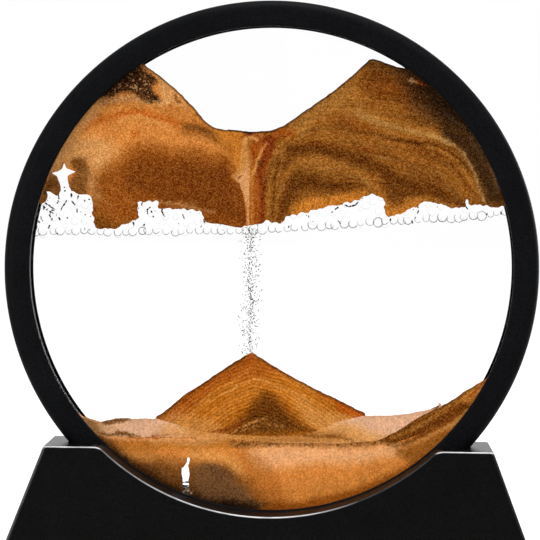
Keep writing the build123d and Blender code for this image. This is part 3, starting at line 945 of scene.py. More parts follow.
# %% Veils of the left bank
LEFT_VEILS = [
    patch(LIGHT_ORANGE, 0.8, 7, [
        (-67.5, 40.5), (-65, 45), (-56, 48), (-44.5, 49.5), (-32.5, 47), (-22.5, 43.5), (-15, 39),
        (-16, 36.5), (-27.5, 39), (-41, 40.5), (-51.5, 39), (-61, 40),
    ]),
    patch(PEACH, 0.9, 5, [
        (-73, 35.5), (-70.5, 40.5), (-62.5, 43), (-55, 41), (-51.5, 38.5), (-55, 34), (-59, 30), (-63, 35),
        (-67.5, 36.5), (-71.5, 32.5),
    ]),
    patch(TAN, 0.25, 4, [
        (-52, 56), (-41, 54.5), (-27.5, 51.5), (-21.5, 47.5), (-15.5, 44.5), (-19.5, 44.5), (-31, 48.5),
        (-41, 51.5), (-53.5, 52.5), (-60.5, 50), (-58, 54.5),
    ]),
    patch(ORANGE_BROWN, 0.9, 7, [
        (-61.5, 27), (-57.5, 31), (-51.5, 35), (-47.5, 39.5), (-41, 40.5), (-32, 38.5), (-22.5, 37.5),
        (-15, 35.5), (-12, 29.5), (-9.5, 21), (-7, 9), (-62, 8.5), (-61.5, 20),
    ]),
    patch(DARK_BROWN, 0.82, 7, [
        (-48, 31.5), (-43.5, 35.5), (-36, 35.5), (-22.5, 34.5), (-15.5, 33.5), (-13, 29), (-10, 21),
        (-8, 9), (-15.5, 10.5), (-24, 16.5), (-35.5, 21), (-44, 23.5), (-49.5, 27.5),
    ]),
    patch(DARK_BROWN, 0.15, 5, [
        (-27.5, 29.5), (-13.5, 31.5), (-9.5, 21), (-8, 11), (-22, 14), (-27.5, 20.5),
    ]),
    patch(ORANGE_BROWN, 0.35, 4, [
        (-36, 40.5), (-24, 39.5), (-15, 38.5), (-14, 35.5), (-24, 36.5), (-34, 37),
    ]),
    streak(RUST, 0.5, 1.3, [
        (-67.5, 44.5), (-62.5, 47), (-58.5, 48.5), (-54.5, 49.5), (-50, 50.5), (-46, 51), (-42, 50.5),
        (-37.5, 49.5), (-33.5, 48.5), (-29.5, 47), (-26, 46), (-22.5, 45), (-18.5, 44),
    ]),
    streak(RUST, 0.6, 0.35, [
        (-56.5, 49), (-50, 51), (-46, 51), (-42, 50.5), (-37.5, 49.5), (-33.5, 48.5), (-29.5, 47),
        (-25.5, 46),
    ]),
    streak(RUST, 0.4, 0.8, [(-59, 53), (-56, 54.5), (-52, 55.5), (-48, 55.5)]),
    streak(BROWN, 0.6, 2, [(-29, 46), (-22.5, 44.5), (-17.5, 42.5), (-14, 39.5)]),
    streak(SMOKE_BROWN, 0.85, 0.7, [
        (-28.5, 46.5), (-24.5, 45.5), (-21, 44.5), (-18, 43), (-15.5, 41.5), (-14.5, 40),
    ]),
    streak(PALE_FRINGE, 0.5, 0.8, [(-64.5, 47.5), (-61.5, 49), (-58.5, 50)]),
    streak(PALE_ORANGE, 0.6, 0.8, [(-51.5, 48.5), (-46.5, 49.5), (-41, 48.5), (-35, 47)]),
    streak(RUST, 0.8, 0.3, [(-47.5, 45.5), (-46.5, 44), (-45.5, 45), (-44, 44.5)]),
    streak(RUST, 0.7, 0.3, [(-46.5, 43), (-46, 44.5), (-45, 43.5)]),
    # Painted light: a pale peach band along the frame's left inner edge, lifting sand that the frame shades.
    streak(PAINTED_LIGHT_PEACH, 0.75, 2.2, [
        (-75, 30.5), (-72.5, 35.5), (-69.5, 41.5), (-65.5, 46.5), (-61.5, 51), (-58.5, 54),
    ]),
    patch(PALE_FRINGE, 0.7, 1.6, [
        (-58.5, 55), (-55, 57), (-50.5, 57.5), (-46.5, 57.5), (-43, 56), (-38.5, 53.5), (-41, 53.5),
        (-46, 55), (-52, 55), (-56.5, 54),
    ], speck=0.25),
    patch(UMBER, 0.95, 1.8, [
        (-48.5, 69.5), (-44, 66), (-41, 64), (-39.5, 61.5), (-40.5, 59.5), (-38, 56.5), (-37.5, 55),
        (-41.5, 55), (-44.5, 57), (-47, 58.5), (-50.5, 58.5), (-54, 57.5), (-58, 57), (-54, 65),
    ], speck=0.8),
    patch(PEACH, 0.95, 1.6, [
        (-44.5, 66.5), (-40.5, 65), (-36, 62), (-31.5, 58), (-28, 53), (-30, 53), (-32.5, 54), (-35.5, 53),
        (-38.5, 54), (-37, 56.5), (-38.5, 59.5), (-39, 62), (-41, 64.5),
    ], speck=0.12),
    streak(DARK_BROWN, 0.9, 0.5, [(-32.5, 57), (-32, 56.5), (-32, 55.5), (-31, 55)]),
    streak(RUST_BROWN, 0.85, 0.4, [(-36, 54), (-35.5, 53.5), (-34, 53.5)]),
    # Painted shade: near-black along the frame's inner edge above the crest, where the frame shades the
    # sand.
    patch(NEAR_BLACK, 0.9, 3.2, [(-62, 54), (-56.5, 58), (-52, 62), (-45.5, 68), (-51.5, 72), (-68, 55)]),
    patch(SMOKE_BROWN, 0.85, 1.8, [
        (-67, 35.5), (-64, 36), (-62, 33.5), (-61.5, 30), (-61.5, 26), (-62.5, 22.5), (-66.5, 22.5),
        (-68, 25.5), (-68, 28.5), (-66, 31), (-68, 34),
    ], speck=0.12),
    patch(SMOKE_BROWN, 0.85, 1.8, [
        (-77.5, 19.5), (-75, 28.5), (-72.5, 30), (-70.5, 26.5), (-70.5, 23), (-73, 22.5), (-75, 22.5),
    ], speck=0.12),
    streak(PALE_FRINGE, 0.7, 0.5, [
        (-73.5, 29.5), (-71, 32), (-69, 33.5), (-67.5, 36), (-65, 36.5), (-62, 35.5),
    ]),
    patch(PALE_FRINGE, 0.4, 3, [(-63, 30), (-60, 32), (-57.5, 25), (-58, 20), (-60.5, 22)]),
    patch(BROWN, 0.6, 3, [
        (-59.5, 20), (-55.5, 17.5), (-48, 16), (-43.5, 14), (-44, 9.5), (-60, 8.5), (-60.5, 14.5),
    ]),
    patch(DARK_BROWN, 0.3, 1.4, [
        (-21.5, 31.5), (-17, 33.5), (-14, 31.5), (-12, 28.5), (-10, 23), (-8, 13.5), (-15, 13.5),
        (-21.5, 20.5),
    ]),
    streak(PALE_FRINGE, 0.4, 0.4, [(-61.5, 29), (-59.5, 26), (-56.5, 23), (-53.5, 20)]),
    streak(PALE_FRINGE, 0.55, 0.7, [(-39, 22), (-32.5, 21), (-25.5, 20), (-20, 18.5)]),
    streak(ORANGE_BROWN, 0.8, 1.4, [(-23, 17.5), (-17.5, 16), (-12, 14.5), (-8, 13)]),
    streak(RUST, 0.2, 0.8, [(-54.5, 13.5), (-51.5, 15.5), (-47.5, 17), (-44, 18.5)]),
    patch(DEEP_BROWN, 0.5, 2, [(-60, 16), (-54.5, 15), (-53, 10.5), (-59, 10.5)]),
]
print("left bank veils", len(LEFT_VEILS))

# %% Veils of the right bank
RIGHT_VEILS = [
    streak(PALE_TAN, 0.35, 2.2, [(8.5, 47.5), (16, 53.5), (24.5, 59)]),
    patch(TAN, 0.75, 7, [
        (6.5, 46.5), (14.5, 53), (21.5, 58), (27.5, 61.5), (30, 57), (25.5, 52), (16.5, 49.5), (9, 46),
    ]),
    patch(DARK_BROWN, 0.7, 6, [
        (29.5, 65.5), (34, 68.5), (43.5, 66), (50, 59), (45.5, 55), (35.5, 56.5), (29.5, 59),
    ]),
    patch(OLIVE_BROWN, 0.6, 5, [(29.5, 67.5), (32.5, 70.5), (44.5, 67), (49, 63), (41, 64.5), (33, 65)]),
    patch(DARK_BROWN, 0.5, 6, [
        (19, 49.5), (27.5, 52.5), (35.5, 49), (49, 44.5), (57, 41.5), (49, 41), (35.5, 44.5), (24, 46),
    ]),
    patch(UMBER, 0.6, 7, [
        (39.5, 66.5), (43, 61), (45, 54.5), (49, 50), (57, 47.5), (54, 55.5), (49, 62), (43.5, 68),
    ]),
    # Painted shadow: near-black along the frame's upper right inner edge, where the frame shades the sand.
    patch(NEAR_BLACK, 0.82, 8, [
        (41.5, 72.5), (47, 61), (51, 54.5), (56.5, 48.5), (63.5, 44), (69, 39), (73, 33), (76.5, 25),
        (83.5, 27), (75.5, 53.5), (58.5, 73.5),
    ]),
    patch(OLIVE, 0.9, 5, [
        (57.5, 48.5), (64.5, 43.5), (70, 38), (73.5, 31), (77, 21.5), (72, 21), (69.5, 27.5), (66.5, 34),
        (62.5, 40), (57, 44.5),
    ]),
    streak(TAN, 0.8, 2.4, [(25.5, 53.5), (32.5, 50.5), (39, 47.5), (46.5, 46), (53, 44.5)]),
    streak(PALE_TAN, 0.45, 0.9, [
        (27.5, 52.5), (34.5, 49.5), (41, 47.5), (48.5, 46), (54.5, 44.5), (59, 42.5),
    ]),
    streak(PALE_TAN, 0.65, 0.5, [
        (53.5, 45), (59, 42.5), (63, 39), (66, 35), (67.5, 30), (69.5, 25.5), (71.5, 21.5),
    ]),
    streak(PALE_FRINGE, 0.5, 0.3, [(62, 40), (65, 36.5), (67, 32.5), (68.5, 28), (71, 22.5)]),
    streak(DEEP_BROWN, 0.8, 0.6, [
        (37, 43.5), (42.5, 43), (47.5, 42.5), (52.5, 42), (57, 40.5), (61, 37.5), (64.5, 33.5),
    ]),
    streak(TAN, 0.75, 0.4, [(50.5, 41.5), (56, 40), (60, 37.5), (63, 34), (66, 29)]),
    streak(DARK_BROWN, 0.7, 0.5, [(54.5, 39.5), (58.5, 36.5), (62, 32.5), (65.5, 26.5)]),
    streak(GREY_BROWN, 0.55, 0.4, [
        (65, 43.5), (68.5, 40.5), (70.5, 37.5), (72.5, 34), (73.5, 31), (74.5, 27),
    ]),
    streak(GREY_BROWN, 0.35, 0.5, [(57, 52.5), (61.5, 48.5), (66.5, 45), (70.5, 40)]),
    patch(DARK_BROWN, 0.4, 4, [
        (33, 42.5), (42.5, 42), (52, 40), (56.5, 37), (51, 35), (42.5, 38), (34, 39.5),
    ]),
    streak(TAN, 0.35, 1.5, [
        (3.5, 42.5), (10, 44.5), (20.5, 43.5), (32.5, 41.5), (44, 38.5), (53, 34.5), (59, 30.5),
        (63.5, 24.5),
    ]),
    streak(TAN, 0.5, 0.5, [(6.5, 46.5), (15.5, 47), (25.5, 45.5), (36.5, 43.5), (43.5, 41)]),
    streak(PALE_TAN, 0.4, 0.5, [(35, 37), (43, 35.5), (51, 32.5), (58, 28), (61.5, 23.5)]),
    streak(DARK_BROWN, 0.55, 0.8, [(9, 42.5), (19, 41.5), (31, 39.5), (41, 36.5), (49, 33), (56, 29.5)]),
    streak(DEEP_BROWN, 0.9, 1.7, [
        (2.5, 34.5), (5, 38.5), (11, 40), (18.5, 39), (28, 36.5), (34, 34.5), (40, 31), (46.5, 28),
    ]),
    patch(DEEP_BROWN, 0.85, 5, [
        (37, 31), (46.5, 30.5), (56, 28.5), (62.5, 24), (63.5, 20), (51, 21), (45.5, 22), (41.5, 23),
        (38, 25.5),
    ]),
    patch(TAN, 0.85, 3, [(8, 35.5), (13, 37), (19, 37), (24, 35), (20.5, 33), (15, 32), (10, 33)]),
    streak(TAN, 0.6, 0.9, [(22, 35), (28, 32.5), (32, 29.5), (36.5, 25.5)]),
    streak(PALE_TAN, 0.4, 0.4, [(24.5, 32), (29, 30.5), (33, 27.5)]),
    patch(DEEP_BROWN, 0.85, 5, [
        (4, 29.5), (9, 32), (16.5, 31), (25, 30), (30.5, 27.5), (26.5, 25), (16, 26), (8.5, 25.5),
        (5.5, 18.5), (4, 14), (2, 19.5), (2.5, 26),
    ]),
    streak(TAN, 0.5, 0.6, [(1.5, 18.5), (2.5, 26), (4, 32), (8, 35.5)]),
    patch(BRIGHT_ORANGE, 0.95, 3, [
        (4.5, 14), (8, 21.5), (15.5, 24), (24.5, 25.5), (31.5, 26.5), (30.5, 21.5), (19.5, 19),
        (13.5, 16.5), (8, 13.5),
    ]),
    patch(BRIGHT_ORANGE, 0.85, 2.5, [
        (34.5, 25.5), (38.5, 23), (41.5, 21), (44, 23), (48.5, 24), (52.5, 23), (47.5, 20), (43.5, 16.5),
        (40, 16), (37.5, 18.5), (35.5, 22.5),
    ]),
    streak(TAN, 0.7, 0.8, [(44, 22), (48.5, 24), (53.5, 23.5), (58.5, 21.5), (64.5, 20.5)]),
    patch(OLIVE_BROWN, 0.8, 1.5, [(3.5, 14.5), (6, 18), (8, 14), (5, 12.5)]),
    patch(BROWN, 0.6, 1.5, [(70.5, 21.5), (74.5, 23.5), (78, 21.5), (72.5, 20)]),
    streak(PALE_FRINGE, 0.95, 0.55, [(45, 63.5), (47.5, 63)]),
    streak(RUST_BROWN, 0.9, 0.5, [(48, 63), (50, 62)]),
    streak(TAN, 0.6, 0.5, [(1.5, 40), (0, 34), (-1, 27.5), (-1, 15)]),
    streak(DEEP_BROWN, 0.55, 0.4, [(1, 36), (0.5, 29), (0.5, 17.5)]),
    streak(TAN, 0.45, 0.4, [(2.5, 36.5), (1.5, 29.5), (1.5, 18.5)]),
    streak(TAN, 0.6, 1.2, [(5.5, 45.5), (3.5, 40.5), (3, 36)]),
]
print("right bank veils", len(RIGHT_VEILS))

# %% Veils of the neck
NECK_VEILS = [
    patch(BRIGHT_ORANGE, 0.9, 3, [
        (-20.4, 45.6), (-11, 45.8), (-9.2, 42.4), (-9.8, 38.4), (-10.8, 33), (-13.6, 34.4), (-14.8, 38.4),
    ]),
    patch(RUST_BROWN, 0.85, 1.2, [
        (-7.6, 39.8), (-5.6, 42.4), (-3, 43.8), (5.6, 46.6), (6.4, 44), (0.4, 41.2), (-1.6, 35.8),
        (-3.2, 30.6), (-2.6, 13.8), (-7.8, 13.2), (-7.8, 25.2), (-7.8, 31.8), (-6.8, 34.4),
    ]),
    patch(RED_BROWN, 0.9, 1.2, [
        (-3.6, 42.6), (-1.6, 43.6), (1, 43.2), (0.8, 40), (-0.8, 36.6), (-2.8, 33.8), (-3.4, 30.6),
        (-5, 31.2), (-5.2, 34.6), (-3.6, 37.2), (-3, 39.8),
    ]),
    patch(PALE_ORANGE, 0.75, 1, [
        (-10.6, 39.2), (-10.4, 42.2), (-9.4, 43.2), (-8.4, 42.4), (-8.6, 39.8), (-8.4, 37.2), (-7.6, 34.4),
        (-7.2, 30.4), (-7.6, 25.2), (-7.4, 13.2), (-8.2, 13.2), (-8.8, 20.4), (-10.4, 26.4), (-12.4, 29.4),
        (-13.6, 31), (-11.6, 33.8),
    ]),
    patch(PALE_PEACH, 0.75, 0.7, [
        (-12.2, 30), (-10.2, 32.2), (-8.8, 35.2), (-8.4, 32.4), (-8, 28.4), (-8, 22.4), (-8.4, 21.2),
        (-9.6, 25.2),
    ]),
    streak(PALE_ORANGE, 0.9, 0.45, [(-10, 40.8), (-9.2, 42.6), (-8, 43.6), (-6.2, 43.4), (-5.2, 42.6)]),
    streak(RED_BROWN, 0.7, 0.25, [
        (-10.4, 43.2), (-9.4, 44), (-7.6, 44.4), (-6, 44.4), (-4.4, 43.2), (-4.2, 41.6),
    ]),
    patch(RUST_BROWN, 0.95, 0.6, [
        (-8, 40.2), (-7, 41.4), (-5.2, 42), (-4.6, 40.6), (-5.2, 38.6), (-6, 36.4), (-7.2, 38.2),
    ]),
    streak(RED_BROWN, 0.85, 0.25, [(-7.6, 39.8), (-6.8, 38.4), (-6.2, 36.6)]),
    streak(RUST, 0.8, 0.25, [(-6.8, 40.8), (-6, 39.8), (-5.8, 38.2)]),
    streak(PALE_ORANGE, 0.9, 0.45, [
        (-2, 41), (-3, 39.8), (-4, 38), (-4.8, 36.4), (-5.6, 34.2), (-6.4, 31.8),
    ]),
    streak(PALE_ORANGE, 0.6, 0.3, [(-5.6, 36.4), (-5.8, 34.8), (-6.6, 32.4), (-7, 29.8)]),
    patch(DEEP_BROWN, 0.8, 0.5, [(-5, 35.6), (-4.2, 36), (-3.6, 34.6), (-4.2, 33.6), (-4.8, 34.2)]),
    streak(RED_BROWN, 0.95, 0.8, [(-3.8, 31.8), (-3.2, 25.2), (-3.2, 15.2)]),
    streak(RUST_BROWN, 0.7, 0.45, [(-5.6, 30.4), (-5.2, 24.2), (-5, 15.2)]),
    streak(ORANGE, 0.7, 0.5, [(-6.6, 30.4), (-6.6, 24.2), (-6.4, 14.4)]),
    streak(PALE_PEACH, 0.85, 0.22, [(-7.8, 31.8), (-7.8, 24.2), (-7.6, 13.8)]),
    streak(RED_BROWN, 0.6, 0.3, [(-11.2, 28.4), (-9.6, 22.4), (-8.6, 14.4)]),
    streak(DARK_BROWN, 0.8, 0.25, [(-11.4, 30.2), (-10.2, 31.2)]),
    streak(NEAR_BLACK, 0.8, 0.3, [(-9.4, 45.2), (-8.4, 45), (-7.4, 45.2)]),
]
print("neck veils", len(NECK_VEILS))

# %% Veils of the cone
CONE_VEILS = [
    patch(RUST_BROWN, 0.6, 5, [(-14.5, -35.5), (-6.5, -27.5), (2, -34), (-2, -38), (-8, -39)]),
    patch(RUST_BROWN, 0.75, 3, [
        (-39.5, -52.5), (-28, -43), (-18.5, -36.5), (-10, -31), (-6.5, -27.5), (-4, -30), (-10, -34),
        (-18, -40.5), (-26.5, -47), (-33.5, -52.5),
    ]),
    patch(BRIGHT_ORANGE, 0.7, 5, [
        (-23, -51), (-13, -43.5), (-4, -37), (2, -37.5), (13.5, -44), (10, -46), (4, -43.5), (-1.5, -40),
        (-10, -46), (-19, -53.5),
    ]),
    patch(PALE_ORANGE, 0.75, 5, [
        (9, -44.5), (16, -46.5), (23.5, -48.5), (30.5, -50.5), (27.5, -55), (18.5, -56), (13, -52),
    ]),
    patch(PEACH, 0.5, 5, [
        (-39, -51.5), (-30.5, -48.5), (-22.5, -50), (-15.5, -54.5), (-21, -59), (-39.5, -58),
    ]),
    patch(DEEP_BROWN, 0.92, 5.5, [
        (-1.5, -41), (4, -46), (9, -50), (11.5, -53.5), (5, -54.5), (-4.5, -55.5), (-15.5, -56.5),
        (-11.5, -52.5), (-7, -47),
    ]),
    patch(OLIVE_BROWN, 0.25, 3, [(-7.5, -51), (-0.5, -49), (7.5, -51), (11.5, -54.5), (-9.5, -56)]),
    streak(PALE_ORANGE, 0.7, 0.3, [(-13, -55), (-9, -53), (-5, -51.5), (-1, -50.5)]),
    streak(PALE_ORANGE, 0.45, 0.25, [(-10.5, -55), (-5.5, -53), (-0.5, -52), (5, -52.5)]),
    streak(RED_BROWN, 0.8, 0.35, [(-36, -56), (-24, -55.5), (-17.5, -55), (-12.5, -53.5), (-9, -51)]),
    streak(DEEP_BROWN, 0.7, 0.35, [(2.5, -49.5), (9.5, -52.5), (16.5, -54.5), (23, -55.5)]),
    streak(DEEP_BROWN, 0.5, 0.3, [(2.5, -50.5), (7.5, -52.5), (13.5, -54.5)]),
    streak(PALE_ORANGE, 0.6, 0.35, [
        (-16, -42.5), (-10, -39), (-6, -37.5), (-2.5, -37), (1, -38.5), (7, -41.5), (14, -44.5),
    ]),
    streak(PALE_ORANGE, 0.45, 0.3, [(-24.5, -46), (-18, -41.5), (-11.5, -37), (-6.5, -34)]),
    streak(PALE_ORANGE, 0.45, 0.3, [(-26.5, -49), (-19, -44), (-11, -39)]),
    streak(PALE_ORANGE, 0.4, 0.3, [(-0.5, -33), (6.5, -37), (15.5, -42), (22, -45.5)]),
    patch(RUST, 0.9, 1.2, [(21, -44.5), (25.5, -44), (33.5, -49.5), (29.5, -50.5), (24, -48)]),
    streak(DARK_BROWN, 0.6, 0.5, [(-37.5, -51), (-28, -43.5), (-18.5, -36.5), (-8, -29.5)]),
    streak(RUST, 0.5, 0.6, [(-2.5, -31), (8.5, -37), (20, -43.5), (27.5, -47.5)]),
]
print("cone veils", len(CONE_VEILS))

# %% Veils of the pale layer
VALLEY_VEILS = [
    patch(PALE_ORANGE, 0.9, 5, [
        (-20.5, -52.5), (23.5, -52), (34.5, -55), (42.5, -57), (23.5, -59), (-20.5, -59.5), (-27.5, -57),
    ]),
    patch(BROWN, 0.5, 3, [
        (-19, -54.5), (-2.5, -53.5), (16.5, -54), (25.5, -56), (17, -58), (-2.5, -58.5), (-19, -58.5),
    ]),
    streak(RED_BROWN, 0.75, 0.3, [(-39.5, -56.5), (-31, -56), (-24, -55.5), (-15.5, -55)]),
    streak(DEEP_BROWN, 0.5, 0.35, [(-14.5, -56.5), (-2.5, -55.5), (10.5, -55.5), (21.5, -56), (27.5, -57)]),
    streak(PALE_ORANGE, 0.6, 0.3, [(-14.5, -57), (-2.5, -56.5), (10.5, -56.5), (23.5, -57)]),
    patch(PEACH, 0.8, 5, [
        (-33.5, -52.5), (-23, -50.5), (-9.5, -51.5), (-9.5, -57.5), (-29.5, -58), (-37, -56),
    ]),
    patch(ORANGE, 0.7, 6, [(-24.5, -50.5), (-6.5, -51), (-6.5, -56.5), (-23, -55.5), (-27.5, -54)]),
    patch(SMOKE_BROWN, 0.9, 0.9, [
        (-57.5, -52), (-54, -51), (-51.5, -50.5), (-48.5, -50.5), (-45.5, -51), (-49.5, -52),
        (-54.5, -52.5),
    ], speck=0.2),
    patch(SMOKE_BROWN, 0.9, 0.9, [
        (-57, -55.5), (-52.5, -55.5), (-49.5, -55), (-46.5, -56), (-43.5, -57), (-49.5, -56.5),
        (-54.5, -56.5),
    ], speck=0.2),
    patch(TAN, 0.7, 3, [(-64.5, -48.5), (-60, -50), (-55, -57), (-59, -55.5)]),
    streak(PALE_FRINGE, 0.5, 0.8, [(-61, -51), (-56.5, -53.5), (-51.5, -54)]),
]
print("pale layer veils", len(VALLEY_VEILS))

# %% Veils of the bed
BED_VEILS = [
    patch(PALE_PEACH, 0.95, 5, [
        (-7.5, -61), (2, -59.5), (20.5, -59), (37, -59), (45, -58), (43, -62), (30.5, -64.5),
        (10.5, -65.5), (-2, -67),
    ]),
    patch(ORANGE, 0.5, 6, [(7, -74), (37, -67.5), (44.5, -67), (37, -74.5), (20.5, -80), (5.5, -80.5)]),
    patch(BROWN, 0.5, 3, [
        (-54.5, -57), (-34.5, -57), (-18, -57), (-13.5, -59.5), (-26.5, -61), (-48.5, -60.5),
    ]),
    patch(BRIGHT_ORANGE, 0.5, 3, [
        (-49.5, -58), (-34.5, -58), (-19, -57.5), (-12.5, -59.5), (-14.5, -61.5), (-26.5, -61),
        (-39.5, -61.5), (-49, -60.5),
    ]),
    patch(SMOKE_BROWN, 0.8, 6, [
        (-59.5, -58), (-53, -62), (-44.5, -64.5), (-34.5, -64.5), (-26, -65), (-17.5, -65), (-10, -67.5),
        (-5, -73), (0.5, -79.5), (0.5, -84), (-29.5, -83), (-49.5, -74.5), (-63, -61.5),
    ]),
    patch(ORANGE_BROWN, 0.4, 6, [
        (-10.5, -61.5), (-2, -63.5), (2.5, -70.5), (6, -80), (-3.5, -80), (-7.5, -71),
    ]),
    # Painted shade: dark umber along the lower-left wall, under the frame's lip.
    streak(UMBER, 0.5, 2.2, [(-57, -57.5), (-52.5, -61.5), (-46, -65.5), (-39.5, -69.5)]),
    patch(UMBER, 0.4, 6, [
        (-50, -66), (-39.5, -68.5), (-29.5, -69), (-21, -71), (-12, -72.5), (-6, -77), (-2, -82),
        (-22.5, -82.5), (-39.5, -76.5),
    ]),
    patch(UMBER, 0.4, 3, [(-21, -65.5), (-14, -66.5), (-10, -70), (-14, -71.5), (-19.5, -68.5)]),
    patch(SMOKE_GREY, 0.6, 2.2, [
        (-24, -67), (-17.5, -66), (-14, -68.5), (-10, -72.5), (-5.5, -76.5), (-1.5, -81), (-20.5, -80.5),
        (-25, -72.5),
    ]),
    # Painted shade: near-black along the lower-left wall and the bottom, where the frame's lip shades the
    # bed.
    patch(NEAR_BLACK, 0.95, 4.5, [
        (-63, -55), (-56.5, -58.5), (-49.5, -63), (-42, -68.5), (-34, -73), (-25, -76), (-13.5, -78),
        (-2, -79), (8, -81.5), (8, -85.5), (-26, -83), (-50, -73.5), (-66.5, -58.5),
    ]),
    patch(ORANGE_BROWN, 0.9, 3, [
        (-2, -79), (10.5, -77.5), (24, -75), (34.5, -71), (44, -66.5), (50.5, -61.5), (54, -63.5),
        (45, -72), (27.5, -80.5), (10.5, -83.5), (-2, -84),
    ]),
    patch(PALE_ORANGE, 0.3, 2.5, [(-49.5, -62), (-43, -61.5), (-37, -63), (-39.5, -65), (-45.5, -64)]),
    patch(PALE_ORANGE, 0.7, 4, [
        (-27.5, -62), (-19, -61), (-12.5, -63), (-8, -67), (-11, -69), (-15.5, -65.5), (-24, -64.5),
    ]),
    streak(PALE_FRINGE, 0.5, 0.8, [(-39.5, -58.5), (-28, -59), (-15.5, -57.5)]),
    streak(PALE_PEACH, 0.6, 0.6, [(-55, -57), (-43, -57.5), (-29.5, -57.5), (-17.5, -56.5)]),
    streak(RUST_BROWN, 0.75, 0.3, [(-47, -57), (-36.5, -57), (-26.5, -56.5), (-18.5, -55.5), (-12.5, -55)]),
    streak(OLIVE_BROWN, 0.45, 1.2, [
        (-12.5, -58.5), (-2.5, -58.5), (10.5, -58), (23.5, -58), (35.5, -57.5), (42.5, -58),
    ], speck=0.4),
    patch(BROWN, 0.88, 4, [
        (43, -59.5), (50.5, -57), (57.5, -53.5), (63, -49.5), (68, -44), (72, -42.5), (67, -52.5),
        (59, -59.5), (52, -63.5), (46, -63.5),
    ]),
    patch(DARK_BROWN, 0.9, 2, [
        (39.5, -58.5), (47.5, -56), (53.5, -52.5), (60, -47.5), (68, -40), (70, -41), (65.5, -47),
        (59.5, -51.5), (53.5, -54.5), (47, -57.5),
    ]),
    streak(PALE_TAN, 0.7, 0.35, [(40.5, -58.5), (50.5, -56.5), (57.5, -53), (63, -49.5), (68, -44)]),
    streak(DEEP_BROWN, 0.5, 0.5, [(44.5, -58), (53.5, -53.5), (62, -47.5), (69, -41)], speck=0.1),
    patch(FILM_GREY, 0.75, 1.2, [(-30, -76.5), (-29, -75.5), (-27, -76), (-26.5, -77), (-28.5, -77.5)]),
    streak(FILM_WHITE, 0.9, 0.2, [(-28.5, -75.5), (-27.5, -74.5), (-26.5, -75), (-25.5, -76)]),
]
print("bed veils", len(BED_VEILS))

# %% Veils of the drift
DRIFT_VEILS = [
    patch(DARK_BROWN, 0.95, 3, [
        (42.5, -57), (53.5, -51.5), (62, -45.5), (68, -40), (66, -44), (57, -51.5), (48, -56.5),
    ]),
    streak(DEEP_BROWN, 0.7, 0.5, [(45, -57), (54.5, -53.5), (63, -47), (69, -41)]),
    streak(TAN, 0.7, 0.6, [(41, -56), (48.5, -52.5), (57, -47), (63.5, -42.5), (70, -37)]),
    patch(ORANGE, 0.8, 2, [(63.5, -41.5), (70, -36.5), (74.5, -34), (72, -40), (67.5, -44)]),
    streak(RUST, 0.7, 0.6, [(67, -41), (70, -38.5), (72.5, -36)]),
]
print("drift veils", len(DRIFT_VEILS))

# %% [markdown]
# ## Sand bodies: finish
# Close up, sand is a heap of grains that each have their own shade. Cellular noise gives every grain a
# tone, larger cells gather them in clumps, and noise stretched along the flow draws the fine layers. The
# painted colour is kept as it is written, so that grains can be made lighter or darker by the same step
# on any ground, and is turned into light at the end. Grains of a second colour are scattered where the
# painting asks for specks, and a thin dark line follows the edge against the liquid, where the grains
# shade each other.

# %% Grains
GRAIN_MM = 0.36
CLUMP_MM = 0.80
CLOUD_MM = 5.0
LAYER_MM = 1.0
STRIPE_MM = 1.15
SPECK_MM = 0.55
GRAIN_TINT = (1.0, 0.93, 0.72)
LAYER_STRETCH = 60.0
STRAY_DARK = (*shares("24160c"), 1.0)
STRAY_PALE = (*shares("b58a60"), 1.0)
STRAY_ABOVE = 0.45
PALE_ABOVE = 0.78
DARKEST = (0.03, 0.02, 0.015)
SCREEN_GAMMA = 2.2


def scaled(tree, value, factor, offset=0.0):
    """value x factor + offset, as a socket."""
    return calc(tree, "MULTIPLY_ADD", value, factor, offset)


def cells(tree, place, size_mm):
    """Cells of a size, as one shade per cell, another shade per cell and the distance from its middle."""
    made = add(tree, "ShaderNodeTexVoronoi", {"Vector": place, "Scale": 1 / (size_mm * MM)}).outputs
    shade = add(tree, "ShaderNodeSeparateColor", {0: made["Color"]}).outputs
    return shade[0], shade[1], made["Distance"]


print("grain", GRAIN_MM, "mm")


